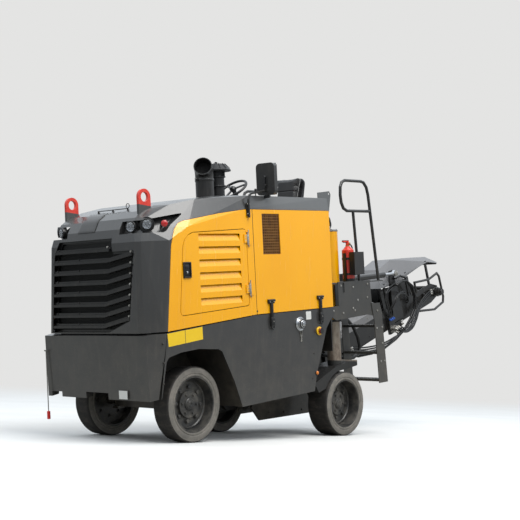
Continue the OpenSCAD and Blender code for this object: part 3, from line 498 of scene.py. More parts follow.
MIRROR = Matrix.Scale(-1, 4, (0, 1, 0))
SIDES = ((BODY, "left"), (BODY @ MIRROR, "right"))


def hub(back, out, side):
    """The frame of a wheel, its outer face at Z 0 looking outwards."""
    spot = tilted((AXLE - back, out, HIGH), -90, "X")
    return spot if side > 0 else MIRROR @ spot


SLOPE = math.cos(math.radians(PITCH))
WHEELS = {  # each with its width in millimetres
    "front_left": (hub(0, 0.61, 1), 185),
    "front_right": (hub(0, 0.61, -1), 185),
    "rear_left": (hub(2.27 / SLOPE, 0.57, 1), 250),
    "rear_right": (hub(1.4 / SLOPE, 0.6, -1), 250),
}

flank = mottled(
    "tyre flank rubber", ((108, 105, 99), (138, 132, 124)), (14, 6, 0.7), (0.15, 0.75),
    ramp=(0.3, 0.75), grain=(160, 4, 0.25, 0.001),
)
tread = mottled(
    "tyre tread rubber", ((44, 42, 40), (82, 76, 70)), (22, 6, 0.7), (0.15, 0.72),
    ramp=(0.42, 0.78), grain=(70, 5, 0.7, 0.45, 0.003), stretch=(1, 0.4, 1),
)
TREAD_FROM = 0.3185  # metres out from the axle
flank_form = [
    (246, 6), (250, 1), (262, 1), (265, 5), (271, 5), (274, 1), (306, 1), (310, 3), (318, 3),
    (325, 8), (329, 15), (330, 26),
]
for name, (place, width) in WHEELS.items():
    outer = [(radius, -deep) for radius, deep in flank_form]
    inner = [(radius, deep - width) for radius, deep in flank_form]
    tyre = turned(inner + [(330, -width / 2)] + outer[::-1], 96, closed=True)
    settle(tyre, "tyre_" + name + "_rubber", flank, "wheel_" + name, Matrix(), 30)
    tyre.data.materials.append(tread.material)
    for face in tyre.data.polygons:
        face.material_index = int(math.hypot(face.center.x, face.center.y) > TREAD_FROM)
    tyre.data.transform(place)
    if place.to_3x3().determinant() < 0:
        tyre.data.flip_normals()
    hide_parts("tyre_" + name)


# ---- Wheel fastenings -------------------------------------------------------
# Each cast rim bolts to its hub flange with a ring of hexagon nuts, and a turned
# cap with a sunk centre closes the hub inside a ring of smaller screws.
def hexagon(across, high, washer=1.3):
    """A hexagon head, chamfered on top, on its round washer, its seat at Z 0.

    Across is the width over the flats in millimetres, 1.732 times the corners' radius.
    """
    head = fresh("cylinder", vertices=6, radius=across / 1732, depth=high / 1000,
                 location=(0, 0, high / 2000 + 0.0015))
    bpy.ops.object.mode_set(mode="EDIT")
    bpy.ops.mesh.select_all(action="DESELECT")
    shape = bmesh.from_edit_mesh(head.data)
    for face in shape.faces:
        face.select = face.normal.z > 0.9
    bmesh.update_edit_mesh(head.data)
    bpy.ops.mesh.inset(thickness=across / 12000, depth=0)
    bpy.ops.transform.translate(value=(0, 0, across / 14000))
    bpy.ops.object.mode_set(mode="OBJECT")
    disc = fresh("cylinder", vertices=14, radius=across * washer / 2000, depth=0.0024,
                 location=(0, 0, 0.0008))
    return joined(head, disc)


def aimed(spot, way=(0, 0, 1)):
    """A place in millimetres with +Z turned towards a direction."""
    turn = Vector(way).to_track_quat("Z", "Y").to_matrix().to_4x4()
    return Matrix.Translation(Vector(spot) / 1000) @ turn


def around(centre, radius, count, start=0, way=(0, 0, 1)):
    """Places evenly round a circle about +Z, in millimetres and degrees."""
    x, y, z = centre
    return [
        aimed((x + radius * math.cos(a), y + radius * math.sin(a), z), way)
        for a in (math.radians(start + 360 / count * k) for k in range(count))
    ]


zinc = mottled(
    "zinc plating", ((196, 194, 188), (140, 136, 128)), (30, 4), (0.25, 0.3),
    ramp=(0.35, 0.7), Metallic=0.85,
)
for name, (place, width) in WHEELS.items():
    face = -width / 2
    nuts = spread(hexagon(30, 16, 1.5), around((0, 0, face - 0.5), 150, 8))
    screws = spread(hexagon(17, 9), around((0, 0, face + 24.0), 88, 6))
    cap = eased(turned([
        (0, face + 41), (10, face + 41), (12, face + 46), (26, face + 46), (28, face + 43),
        (38, face + 43), (44, face + 38), (56, face + 31), (58, face + 22), (0, face + 22),
    ], 40), 0.8)
    band = turned([
        (196, face + 4), (205, face + 14), (208, face + 13), (200, face + 1),
    ], 72, closed=True)
    settle(joined(nuts, screws, cap, band), "hub_" + name, cast, "wheel_" + name, place)


# ---- Head lamps -------------------------------------------------------------
# Round work lamps in black bezels: a pressed bright bowl with seven small lenses
# under a domed glass. The innermost lamp of each cluster is a red marker.
bright = Finish("bright reflector", Metallic=1.0, Base_Color=colour(150, 153, 158))
bright.use(Roughness=bright.noise(80, 2) * 0.1 + 0.12)
glass = Finish("lamp glass", Transmission_Weight=1.0, IOR=1.46, Base_Color=(1, 1, 1, 1))
glass.use(Roughness=glass.noise(60, 2) * 0.04 + 0.02)
flutes = glass.node("ShaderNodeTexWave", {"bands_direction": "Y"}, glass.place(), 55)
glass.bump(flutes, 0.25, 0.001)
red_glass = mottled(
    "red marker glass", ((206, 30, 26), (160, 16, 16)), (40, 2), (60, 2, 0.05, 0.12),
    Coat_Weight=0.8,
)
# Each lamp's centre, the way it looks, and how far out from the centre its face lies.
LAMPS = [((486, 446, 1556), 18, 34), ((424, 560, 1570), 44, 34)]
MARKER = ((320, 655, 1572), 58, 24)


def facing(centre, degrees, out):
    """A place a distance out from a centre, level and looking away from it."""
    x, y, z = centre
    way = (math.cos(math.radians(degrees)), math.sin(math.radians(degrees)), 0)
    return aimed((x + out * way[0], y + out * way[1], z), way)


for turn, word in SIDES:
    faces = [facing(*lamp) for lamp in LAMPS]
    bezel = eased(turned([
        (45.3, -16), (49, -14), (49, 2), (46, 6), (41.5, 6), (39, 2), (39, 0.5), (42, -1),
        (45.3, -2),
    ], 48, closed=True), 0.6)
    bowl = turned([(0, 1.2), (9, 1.4), (20, 1.8), (33, 3.2), (40, 5.6), (40, 0.4), (0, 0.4)], 48)
    diode = turned([(0, 6.6), (4, 6.2), (7, 4.4), (8, 1.6), (9.5, 1.4), (9.5, 0.6), (0, 0.6)], 20)
    spread(diode, [aimed((0, 0, 1))] + around((0, 0, 1), 24, 6))
    dome = turned([
        (0, 12.4), (13, 12.0), (26, 10.2), (36, 7.4), (40.4, 4.8), (40.4, 3.6), (26, 8.8),
        (13, 10.6), (0, 11.0),
    ], 48)
    back = fresh("cylinder", vertices=40, radius=0.064, depth=0.003)
    behind = [face @ aimed((0, 0, 2.5 - out)) for face, (_, _, out) in zip(faces, LAMPS)]
    marker = eased(turned([
        (0, 9), (10, 8.2), (20, 5.6), (26, 1.0), (28.6, 0.6), (28.8, -6), (0, -6),
    ], 36), 0.5)
    for piece, places, name, finish in (
        (bezel, faces, "lamp_bezels_", plastic),
        (joined(bowl, diode), faces, "lamp_bowls_", bright),
        (back, behind, "lamp_backs_", grille_black),
        (dome, faces, "lamp_glasses_", glass),
        (marker, [facing(*MARKER)], "marker_lamp_", red_glass),
    ):
        settle(spread(piece, places), name + word, finish, "body", turn)


# ---- Grille fastenings ------------------------------------------------------
# The cross bars are bolted to their brackets through the set-back upper flank,
# twice on the far half of each bar and once at its near end.
def bolts(name, across, high, places, finish=zinc, body="body", place=BODY, washer=1.3):
    """Settles one piece that is a hexagon bolt at each place."""
    settle(spread(hexagon(across, high, washer), places), name, finish, body, place)


BAR_FACE = 566.2  # x of the upper flank, where the bolts sit
LOWEST, BAR_STEP = 724, 93.5  # z of the lowest bar, and from bar to bar
far, near = [(-440, 1390)], [(206, 1390)]
for k in range(7):
    level = LOWEST + BAR_STEP * k + 11
    start, bend, end = -540 + 5.8 * k, 139 + 14.7 * k, 467 + 9.2 * k
    rise = (68 - 3.5 * k) * (end - 26 - bend) / (end - bend)
    far += [(start + 38, level), (start + 330, level)]
    near.append((end - 26, level + rise))
bolts("grille_bolts", 14, 7, [aimed((BAR_FACE, *p), (1, 0, 0)) for p in far], grille_black)
bolts("grille_end_bolts", 17, 9, [aimed((BAR_FACE, *p), (1, 0, 0)) for p in near])


# ---- Door latches and hinges ------------------------------------------------
# A flush paddle latch in a black moulded dish with a chromed key cylinder, and
# zinc butt hinges screwed through the door's edge.
def plank(low, high, ease, segments=2, draft=0.0):
    """A block between two corners, its front face drawn in and its edges eased."""
    low, high = Vector(low) / 1000, Vector(high) / 1000
    piece = fresh("cube", size=1, location=(low + high) / 2, scale=high - low)
    piece.data.transform(piece.matrix_world)
    piece.matrix_world = Matrix()
    if draft:
        middle = (low + high) / 2
        for vertex in piece.data.vertices:
            if vertex.co.y > middle.y:
                vertex.co.x += math.copysign(draft / 1000, middle.x - vertex.co.x)
                vertex.co.z += math.copysign(draft / 1000, middle.z - vertex.co.z)
    return eased(piece, ease, segments, 20)


SKIRT = 720  # y of the outer face of skirts and doors
HINGES = (930, 1390)  # z of the foot of each hinge
for turn, word in SIDES:
    dish = joined(
        plank((88, 718.5, 1103), (180, 722, 1237), 1),
        *(plank((x0, 719, z0), (x1, 731, z1), 4, 3) for x0, z0, x1, z1 in (
            (88, 1101, 182, 1114), (88, 1226, 182, 1239), (86, 1103, 99, 1237),
            (170, 1103, 183, 1237),
        )),
        plank((106, 720, 1124), (164, 726, 1216), 3, 3, 2),
        plank((112, 725, 1180), (158, 729, 1208), 2, 2, 1),
    )
    settle(dish, "latch_" + word, plastic, "engine_door_" + word, turn)
    key = eased(turned([
        (0, 3.2), (2, 3.2), (2, 4.6), (8.5, 4.6), (10, 3.4), (10, 0), (0, 0),
    ], 28), 0.4)
    spread(key, [aimed((135, 725.5, 1150), (0, 1, 0))])
    settle(key, "latch_key_" + word, chrome, "engine_door_" + word, turn)
    screws = spread(hexagon(9, 4), [
        aimed((-636, 730.4, z + dz), (0, 1, 0)) for z in HINGES for dz in (22, 45, 68)
    ])
    leaves = [plank((-658, 729.7, z + 6.5), (-650, 731, z + 83.5), 0.5) for z in HINGES]
    barrel = spread(turned([(8.1, 0.5), (9, 1), (9, 88), (8.1, 89.5)], 24, closed=True), [
        aimed((-664, 730, z)) for z in HINGES
    ])
    leaves = joined(screws, barrel, *leaves)
    settle(leaves, "hinge_leaves_" + word, zinc, "engine_door_" + word, turn)
    still = [plank((-689, 719.8, z - 34), (-678.5, 726, z + 124), 1) for z in HINGES]
    ends = spread(turned([(8.1, 0), (9, 0.5), (9, 12.5), (8.1, 13)], 24, closed=True), [
        aimed((-664, 730, z + dz)) for z in HINGES for dz in (-14, 91)
    ])
    settle(joined(ends, *still), "hinge_plates_" + word, zinc, "body", turn)


# ---- Toggle latches ---------------------------------------------------------
# Moulded rubber straps that pull the raised panels down on to the skirts, each
# with a T handle above the seam and a steel hook plate below it.
LATCHES = (-955, -1708)
for turn, word in SIDES:
    parts = []
    for x in LATCHES:
        grip = fresh("cylinder", vertices=20, radius=0.0115, depth=0.098,
                     location=(x / 1000, 0.7335, 0.854), rotation=(0, math.pi / 2, 0))
        parts.append(eased(grip, 4, 3))
        boss = eased(turned([(0, 22), (8, 22), (11, 19), (13, 8), (13, 0), (0, 0)], 20), 0.8)
        parts += [
            spread(boss, [aimed((x + dx, SKIRT, 838), (0, 1, 0)) for dx in (-30, 30)]),
            plank((x - 17, 735, 700), (x + 17, 742, 838), 3, 3, 2),
            plank((x - 11, 741, 716), (x + 11, 744, 820), 2, 2, 2),
            plank((x - 27, 738, 618), (x + 27, 750, 696), 5, 3, 4),
            fresh(
                "torus", major_radius=0.02, minor_radius=0.0065, major_segments=28,
                minor_segments=10, location=(x / 1000, 0.736, 0.608),
                rotation=(math.pi / 2, 0, 0),
            ),
        ]
    settle(joined(*parts), "toggle_latches_" + word, plastic, "body", turn)
    bolts("toggle_bolts_" + word, 11, 5, [
        aimed((x + dx, y, z), (0, 1, 0))
        for x in LATCHES for dx, y, z in ((-30, 741, 838), (30, 741, 838), (0, 749.5, 656))
    ], place=turn)


# ---- Fuel filler ------------------------------------------------------------
# A chromed locking cap on a flanged neck, kept by a short jack chain that is
# pinned to the skirt at both ends.
def turns(count):
    """Even turns about +Z."""
    return [Matrix.Rotation(2 * math.pi * k / count, 4, "Z") for k in range(count)]


flange = eased(turned([
    (0, 8.5), (52, 8.5), (62, 11), (67, 9), (68, 3), (66, 0.3), (0, 0.3),
], 56), 0.8)
neck = eased(turned([
    (0, 34), (41, 34), (45, 36), (47, 32), (47.5, 10), (52, 8), (0, 8),
], 56), 0.8)
lid = eased(turned([
    (0, 54), (20, 54), (24, 52.5), (24, 48), (33, 47), (36, 44), (37, 36), (0, 36),
], 56), 1)
lug = plank((-4, -22, 52), (4, 22, 56), 1.5)
knurl = spread(plank((34.5, -3, 32), (38.5, 3, 46), 1.2), turns(12))
filler = spread(joined(flange, neck, lid, lug, knurl), [aimed((-1380, SKIRT, 607), (0, 1, 0))])
settle(filler, "fuel_filler", chrome)
link = fresh(
    "torus", major_radius=0.0062, minor_radius=0.0015, major_segments=16, minor_segments=6
)
link.data.transform(Matrix.Diagonal((1.45, 0.85, 1, 1)))
LINKS, SPAN, SAG = 30, 46, 470
hang = []
for k in range(LINKS):
    t = (k + 0.5) / LINKS
    x = -1408 + SPAN * t + 10 * math.sin(2 * math.pi * t)
    z = 560 - SAG * t * (1 - t)
    slope = Vector((SPAN + 20 * math.pi * math.cos(2 * math.pi * t), 0, -SAG * (1 - 2 * t)))
    hang.append(
        Matrix.Translation(Vector((x, 725.5, z)) / 1000)
        @ slope.to_track_quat("X", "Y").to_matrix().to_4x4()
        @ Matrix.Rotation(math.pi / 2 * (k % 2) + 0.35, 4, "X")
    )
spread(link, hang)
posts = spread(eased(turned([(0, 9), (4, 9), (6, 7), (6, 0), (0, 0)], 16), 0.5), [
    aimed((x, SKIRT, 562), (0, 1, 0)) for x in (-1409, -1361)
])
settle(joined(link, posts), "filler_chain", zinc, "body", BODY, 60)


# ---- Stop buttons -----------------------------------------------------------
# A red mushroom push button on a yellow backing disc, one on each skirt.
signal_red = mottled(
    "signal red plastic", ((214, 34, 26), (190, 26, 22)), (30, 3), (50, 3, 0.15, 0.25),
    Coat_Weight=0.4,
)
signal_yellow = mottled(
    "signal yellow plastic", ((248, 196, 20), (230, 176, 16)), (30, 3), (50, 3, 0.15, 0.35),
    Coat_Weight=0.3,
)
for turn, word in SIDES:
    disc = eased(turned([
        (0, 12.8), (24, 12.8), (26, 16), (33, 16), (35, 12.8), (42.5, 12.4), (43, 4), (0, 4),
    ], 44), 0.8)
    knob = turned([
        (0, 43.6), (10, 43), (20, 41), (26, 37.5), (28.5, 33), (27, 29.5), (21, 27.5), (20, 27),
        (0, 27),
    ], 44)
    for piece, name, finish in (
        (disc, "stop_plate_", signal_yellow), (knob, "stop_knob_", signal_red),
    ):
        spread(piece, [aimed((-1671, SKIRT, 518), (0, 1, 0))])
        settle(piece, name + word, finish, "body", turn)


# ---- Amber side lamps -------------------------------------------------------
# A small amber lens in a black rubber ring, low at the back of each skirt.
amber = mottled(
    "amber lens", ((238, 140, 26), (206, 108, 16)), (40, 2), (60, 2, 0.06, 0.14), Coat_Weight=0.8
)
for turn, word in SIDES:
    lens_form = turned([(0, 17), (8, 16), (15, 12), (19, 6), (19.5, 0), (0, 0)], 32)
    grommet = turned([(19.8, 0), (26, 0.4), (27, 3), (24, 7), (20.5, 7)], 32, closed=True)
    for piece, y, name, finish in (
        (lens_form, 719.5, "amber_lens_", amber), (grommet, 719.8, "amber_ring_", plastic),
    ):
        spread(piece, [aimed((-1612, y, 111), (0, 1, 0))])
        settle(piece, name + word, finish, "body", turn)


# ---- Seat -------------------------------------------------------------------
# A crowned squab and a taller back of foam in black vinyl, pulled in at sewn
# channels and edged with grey piping, each bolted to the steel seat pan.
vinyl = mottled(
    "black vinyl", ((27, 27, 28), (38, 37, 37)), (9, 4), (30, 3, 0.2, 0.42),
    ramp=(0.35, 0.7), grain=(420, 4, 0.6, 0.25, 0.0006), Coat_Weight=0.12,
)
piping = mottled(
    "grey piping", ((150, 150, 148), (122, 122, 121)), (60, 3), (90, 2, 0.2, 0.45),
    grain=(700, 2, 0.2, 0.0003),
)
GROOVE, GROOVE_DEEP = 9, 0.0055  # half a channel's width in millimetres, its depth in metres


def stuffed(piece, cap, rest, channels):
    """Swells a foam pad with cloth, keeps its seat flat and draws in its channels."""
    changed(piece, "REMESH", mode="VOXEL", voxel_size=0.006)
    start = [v.co.copy() for v in piece.data.vertices]
    swell = piece.modifiers.new("swell", "CLOTH")
    swell.settings.use_pressure = True
    swell.settings.uniform_pressure_force = 4
    swell.settings.effector_weights.gravity = 0
    swell.point_cache.frame_start, swell.point_cache.frame_end = 1, 20
    for number in range(1, 21):  # the cloth settles step by step
        bpy.context.scene.frame_set(number)
    bpy.ops.object.modifier_apply(modifier="swell")
    bpy.context.scene.frame_set(1)
    for vertex, spot in zip(piece.data.vertices, start):
        move = vertex.co - spot
        if move.length > cap / 1000:
            vertex.co = spot + move.normalized() * cap / 1000
    changed(piece, "SUBSURF", levels=1, render_levels=1)
    for vertex in piece.data.vertices:
        spot = vertex.co
        for level in channels:
            gap = abs((spot.y if rest == "z" else spot.z) * 1000 - level)
            if gap < GROOVE:
                pull = GROOVE_DEEP * (1 - (gap / GROOVE) ** 2) ** 2
                # only the face that is sat on or leant on is drawn in
                if rest == "z" and spot.z > 0.045:
                    spot.z -= pull
                elif rest == "x" and spot.x > 0.01:
                    spot.x -= pull
        # the other face stays flat on the pan or the shell
        if rest == "z":
            spot.z = max(spot.z, 0)
        else:
            spot.x = max(spot.x, -0.0275)


def piped(kind, radius, rounds):
    """A round tube: the run to give points to, and what makes a mesh of it."""
    path = bpy.data.curves.new("run", "CURVE")
    path.dimensions = "3D"
    path.bevel_depth = radius
    path.bevel_resolution = rounds
    made = bpy.data.objects.new("run", path)
    bpy.context.scene.collection.objects.link(made)

    def meshed():
        active(made)
        bpy.ops.object.convert(target="MESH")
        return bpy.context.object

    return path.splines.new(kind), meshed


def edged(pad, level, axis):
    """A bead of piping round a pad, lying where a level plane meets its face."""
    spots = []
    middle = sum((v.co for v in pad.data.vertices), Vector()) / len(pad.data.vertices)
    for k in range(96):
        a = math.radians(360 * k / 96)
        if axis == "z":
            start = Vector((middle.x, middle.y, level / 1000))
            way = Vector((math.cos(a), math.sin(a), 0))
        else:
            start = Vector((level / 1000, middle.y, middle.z))
            way = Vector((0, math.cos(a), math.sin(a)))
        hit, spot, _, _ = pad.ray_cast(start, way)
        if hit:
            spots.append(spot + way * 0.0006)
    run, meshed = piped("POLY", 0.0032, 3)
    run.points.add(len(spots) - 1)
    for point, spot in zip(run.points, spots):
        point.co = (*spot, 1)
    run.use_cyclic_u = True
    return meshed()


squab = eased(plank((-157, -172, 2), (157, 172, 62), 3), 16, 4, 20)
stuffed(squab, 22, "z", (-62, 62))
squab_bead = edged(squab, 44, "z")
squab_place = BODY @ Matrix.Translation((-2.165, -0.15, 1.5708))
lean = BODY @ tilted((-2.3205, -0.15, 1.659), -13.3)
rest = plank((-24, -152, 8), (18, 152, 470), 3)
for vertex in rest.data.vertices:
    if vertex.co.x > 0:
        vertex.co.x += 0.036 * min(vertex.co.z, 0.42) / 0.42
eased(rest, 15, 4, 20)
stuffed(rest, 22, "x", (110, 215, 320))
rest_bead = edged(rest, 14, "x")
for pad, bead, name, spot in (
    (squab, squab_bead, "seat_cushion", squab_place), (rest, rest_bead, "seat_back", lean),
):
    settle(pad, name + "_pad", vinyl, "body", spot, 60)
    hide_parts(name)
    settle(bead, name + "_piping", piping, "body", spot, 60)


# ---- Seat frame -------------------------------------------------------------
# A pressed shell behind the pad, a pan on a rubber bellows over the spring, a
# foot plate bolted to the deck and two padded arm rests on bent flats.
def film(corners, thick=0.9):
    """A thin flat piece between corners, in millimetres, standing off its face."""
    sheet = line(corners, True)
    points = [Vector(c) / 1000 for c in corners]
    way = (points[1] - points[0]).cross(points[2] - points[0]).normalized()
    bpy.ops.mesh.edge_face_add()
    bpy.ops.mesh.extrude_region_move(TRANSFORM_OT_translate={"value": way * thick / 1000})
    bpy.ops.mesh.select_all(action="SELECT")
    bpy.ops.mesh.normals_make_consistent(inside=False)
    bpy.ops.object.mode_set(mode="OBJECT")
    return sheet


def rounded(low, high, radius, at):
    """The corners of a rectangle with rounded corners, standing across X."""
    corners = []
    left, right = low[0] + radius, high[0] - radius
    foot, top = low[1] + radius, high[1] - radius
    for y, z, start in ((right, top, 0), (left, top, 90), (left, foot, 180), (right, foot, 270)):
        for k in range(7):
            a = math.radians(start + 15 * k)
            corners.append((at, y + radius * math.cos(a), z + radius * math.sin(a)))
    return corners


parts = [
    plank((-165, -140, 978.2), (135, 140, 1010), 4),
    plank((-215, -195, 1540), (175, 195, 1570), 9, 3),
    plank((-115, -90, 1500), (85, 90, 1541), 4),
]
for k in range(11):
    parts.append(plank((-115, -90, 1008 + 45 * k), (85, 90, 1050 + 45 * k), 12, 3))
for s in (1, -1):
    parts += [
        plank((-145, s * 225 - 20, 1760), (125, s * 225 + 20, 1800), 12, 4),
        plank((-145, s * 225 - 12, 1548), (-115, s * 225 + 12, 1765), 3),
        plank((-145, min(s * 190, s * 245), 1545), (-115, max(s * 190, s * 245), 1568), 3),
    ]
seat_frame = joined(*parts)
seat_frame.data.transform(Matrix.Translation((-2.165, -0.15, 0)))
back_shell = eased(film(rounded((-176, -60), (176, 483), 70, -44), 14), 3, 2)
back_shell.data.transform(BODY.inverted() @ lean)
seat_frame = joined(seat_frame, back_shell, spread(hexagon(17, 9), [
    aimed((x, y, 1010)) for x in (-2310, -2050) for y in (-270, -30)
]))
settle(seat_frame, "seat_frame", plastic)
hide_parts("seat_base")


# ---- Control desk -----------------------------------------------------------
# A sloped steel desk with a display, rocker switches, two levers in rubber boots
# and a padded wheel with a spinner knob on its tilted column.
desk = BODY @ tilted((-1.7, 0, 1.885), -8.8)
shown = mottled(
    "display glass", ((18, 22, 26), (26, 30, 34)), (6, 2), (40, 2, 0.05, 0.08), Coat_Weight=0.8
)
panel = [plank((-150, -330, 0), (-30, -190, 10), 3), plank((-190, 40, 0), (-20, 190, 8), 3)]
panel += [plank((-170 + 34 * i, 60 + 40 * j, 8), (-146 + 34 * i, 84 + 40 * j, 13), 2)
          for i in range(4) for j in range(3)]
settle(joined(*panel), "desk_panels", plastic, "body", desk)
settle(plank((-142, -322, 10), (-38, -198, 12), 1), "desk_display", shown, "body", desk)
levers = []
for y in (-120, 0):
    boot = turned([(0, 38), (8, 38), (10, 30), (13, 30), (14, 22), (19, 22), (20, 12), (26, 12),
                   (28, 0), (0, 0)], 28)
    grip = turned([
        (0, 128), (9, 127), (13, 120), (12, 104), (9, 84), (6, 78), (5, 36), (0, 36),
    ], 28)
    levers.append(spread(joined(boot, grip), [aimed((-95, y, 0), (0.12, 0, 1))]))
settle(joined(*levers), "desk_levers", plastic, "body", desk)
wheel_spot = BODY @ aimed((-1478, -150, 1985)) @ tilted((0, 0, 0), 36)
boss = turned([
    (0, 27), (16, 27), (26, 23), (33.5, 15), (35, 4), (35, -11), (33.5, -12), (0, -12),
], 40)
spinner = spread(turned([(0, 60), (12, 58), (18, 50), (16, 38), (8, 30), (7, 4), (0, 4)], 28), [
    aimed((0, 150, 8))
])
settle(joined(boss, spinner), "wheel_boss", plastic, "hand_wheel", wheel_spot)


# ---- Mirror -----------------------------------------------------------------
# A moulded shell with a raised rim round a convex glass, clamped to its bent
# tube arm by two saddles.
def cable(points, width, sides=4):
    """A hose or rod of one width run smoothly through points, in millimetres."""
    run, meshed = piped("BEZIER", width / 2000, sides)
    run.id_data.use_fill_caps = True
    run.id_data.resolution_u = 6
    run.bezier_points.add(len(points) - 1)
    for point, spot in zip(run.bezier_points, points):
        point.co = Vector(spot) / 1000
        point.handle_left_type = point.handle_right_type = "AUTO"
    return meshed()


def fan(count, width, *rows):
    """Hoses side by side: each row is a point and the step to the next hose's."""
    return [
        cable([(x + dx * k, y + dy * k, z + dz * k) for x, y, z, dx, dy, dz in rows], width, 3)
        for k in range(count)
    ]


shell = BODY @ tilted((-1.01, 0.716, 1.965), 8, "Z")
mirror_glass = Finish("mirror glass", Metallic=1.0, Base_Color=colour(214, 218, 220))
mirror_glass.use(Roughness=mirror_glass.noise(12, 2) * 0.03 + 0.02)
pane = eased(plank((-4, -86, -112), (0.5, 86, 160), 1.2), 0.6)
for vertex in pane.data.vertices:
    vertex.co.x -= 0.003 * (1 - (vertex.co.y / 0.086) ** 2)
settle(pane, "mirror_glass", mirror_glass, "body", shell)
rim = joined(
    *(plank((-7, y0, z0), (2, y1, z1), 3) for y0, z0, y1, z1 in (
        (-98, -110, -87, 158), (87, -110, 98, 158), (-88, 161, 88, 172), (-88, -124, 88, -113),
    )),
    plank((18, -26, -152), (46, 26, -120), 6, 3), plank((51, -16, -60), (58, 16, 60), 4, 3),
    spread(turned([(0, 22), (10, 22), (13, 18), (13, 4), (17, 2), (17, 0), (0, 0)], 28), [
        aimed((52, 0, z), (1, 0, 0)) for z in (40, -36)
    ]),
    cable([(28, 0, -70), (64, 0, -62), (70, 0, -36), (70, 0, 40)], 15),
)
settle(rim, "mirror_rim", plastic, "body", shell)
bolts("mirror_bolts", 13, 7, [
    aimed((x, 732.3, z), (0, 1, 0)) for x in (-703, -677) for z in (1655, 1745)
])


# ---- Exhaust and air intake -------------------------------------------------
# A black stack with a band clamp at its foot, and a bowl precleaner: a vaned
# throat between two bands under a moulded cap with a wing nut.
stack = BODY @ Matrix.Translation((-0.868, 0.03, 1.833))
CLAMPS = (18, 205)
bands = [turned([(89, 0), (118, 0), (119, 2), (118, 5), (89, 6)], 56, closed=True)]
for z in CLAMPS:
    bands += [
        turned([
            (89, z - 13), (93, z - 13), (94, z - 10), (94, z + 10), (93, z + 13), (89, z + 13),
        ], 56, closed=True),
        plank((92, -9, z - 9), (112, -4, z + 9), 1.5), plank((92, 4, z - 9), (112, 9, z + 9), 1.5),
    ]
settle(joined(*bands), "stack_bands", black, "body", stack)
bolts("stack_bolts", 10, 26, [aimed((102, -13, z), (0, 1, 0)) for z in CLAMPS],
      place=stack, washer=1.2)
bolts("stack_foot_bolts", 11, 6, around((0, 0, 5), 105, 8), place=stack)
# A near-black cup sits in the stack's mouth: soot on its wall, and its closed end is painted shade
# standing in for the dark down the pipe.
soot_and_painted_shade = mottled("exhaust soot", ((7, 7, 7), (16, 15, 14)), (30, 4), (60, 3, 0.1, 0.82))
lining = turned([(0, 0), (82.6, 0), (82.6, 90), (81, 91), (81, 2), (0, 2)], 48)
mouth = Vector((0.746, 0.583, 0.322))
spread(lining, [aimed(Vector((50, 39, 315.5)) - mouth * 39, mouth)])
settle(lining, "exhaust_lining", soot_and_painted_shade, "body", stack)
intake = BODY @ Matrix.Translation((-1.108, -0.03, 1.833))
vanes = spread(plank((72, -1.5, 254), (84, 1.5, 304), 0.6), turns(36))
rings = [
    turned([
        (75, z), (88, z), (89, z + 2), (89, z + h - 2), (88, z + h), (75, z + h),
    ], 56, closed=True) for z, h in ((244, 10), (298, 8), (6, 14), (150, 14))
]
crown = eased(turned([
    (0, 400), (10, 400), (14, 396), (14, 384), (22, 382), (60, 379), (84, 377.5), (84, 376.5),
    (0, 376.5),
], 48), 0.8)
ribs = spread(plank((88, -3, 326), (140, 3, 334), 2), turns(12))
for vertex in ribs.data.vertices:  # the ribs slope down outwards with the bowl
    vertex.co.z += 0.139 - math.hypot(vertex.co.x, vertex.co.y)
settle(joined(vanes, *rings, crown, ribs), "intake_trim", plastic, "body", intake)


# ---- Plates and stickers ----------------------------------------------------
# Blank films: a yellow plate in two parts under the door, a white sticker at the
# back of each skirt and one low on the bumper.
sign_yellow = mottled(
    "yellow sign film", ((246, 206, 30), (236, 192, 22)), (12, 4), (60, 2, 0.1, 0.25),
    Coat_Weight=0.5,
)
sign_white = mottled(
    "white sign film", ((226, 226, 222), (208, 208, 203)), (12, 4), (60, 2, 0.1, 0.3),
    Coat_Weight=0.4,
)


def label(*corners):
    """A film with (x, z) corners, just off the skirt's outer face."""
    return film([(x, SKIRT + 0.1, z) for x, z in corners])


for turn, word in SIDES:
    signs = joined(
        label((402, 645), (194, 660), (192, 549), (392, 534)),
        label((188, 660), (-23, 675), (-25, 566), (186, 549)),
    )
    settle(signs, "sign_plates_" + word, sign_yellow, "body", turn)
    sticker = label((-1482, 719), (-1562, 719), (-1562, 641), (-1482, 641))
    settle(sticker, "skirt_sticker_" + word, sign_white, "body", turn)
sticker = film([(597.5, 305, 108), (597.5, 305, 179), (597.5, 409, 179), (597.5, 409, 108)])
settle(sticker, "bumper_sticker", sign_white)


# ---- Extinguisher fittings --------------------------------------------------
# The red bottle stands in a steel cup held by two straps, with a brass valve,
# a squeeze handle, a pressure gauge and a short hose clipped down its side.
brass = mottled(
    "brass", ((202, 164, 92), (160, 124, 66)), (30, 3), (50, 2, 0.2, 0.28), Metallic=0.9
)
bottle = BODY @ Matrix.Translation((-2.39, 0.6, 0.978))
STRAPS = (70, 230)  # heights above the bottle's foot
straps = [
    turned([(62.5, z), (65.5, z), (65.5, z + 22), (62.5, z + 22)], 48, closed=True)
    for z in STRAPS
]
cup = turned([(62.5, 0), (67, 0), (67, 34), (62.5, 34)], 48, closed=True)
buckles = [plank((-12, 63, z - 4), (12, 72, z + 26), 2) for z in STRAPS]
post = plank((60, -22, 0), (66, 22, 300), 1.5)
settle(joined(*straps, cup, *buckles, post), "bottle_straps", black, "body", bottle)
valve = turned([(0, 404), (13, 404), (15, 400), (15, 384), (22, 382), (22, 374), (0, 374)], 28)
gauge = spread(turned([(0, 13), (13, 13), (15, 11), (15, 0), (0, 0)], 28), [
    aimed((-8, 14, 396), (-0.3, 1, 0))
])
settle(joined(valve, gauge), "bottle_valve", brass, "body", bottle)
handle = joined(plank((-18, -9, 428), (82, 9, 434), 2), plank((-14, -8, 408), (70, 8, 414), 2))
nozzle = cable([(-16, 0, 392), (-60, 4, 380), (-76, 8, 300), (-74, 8, 180), (-73, 8, 90)], 14)
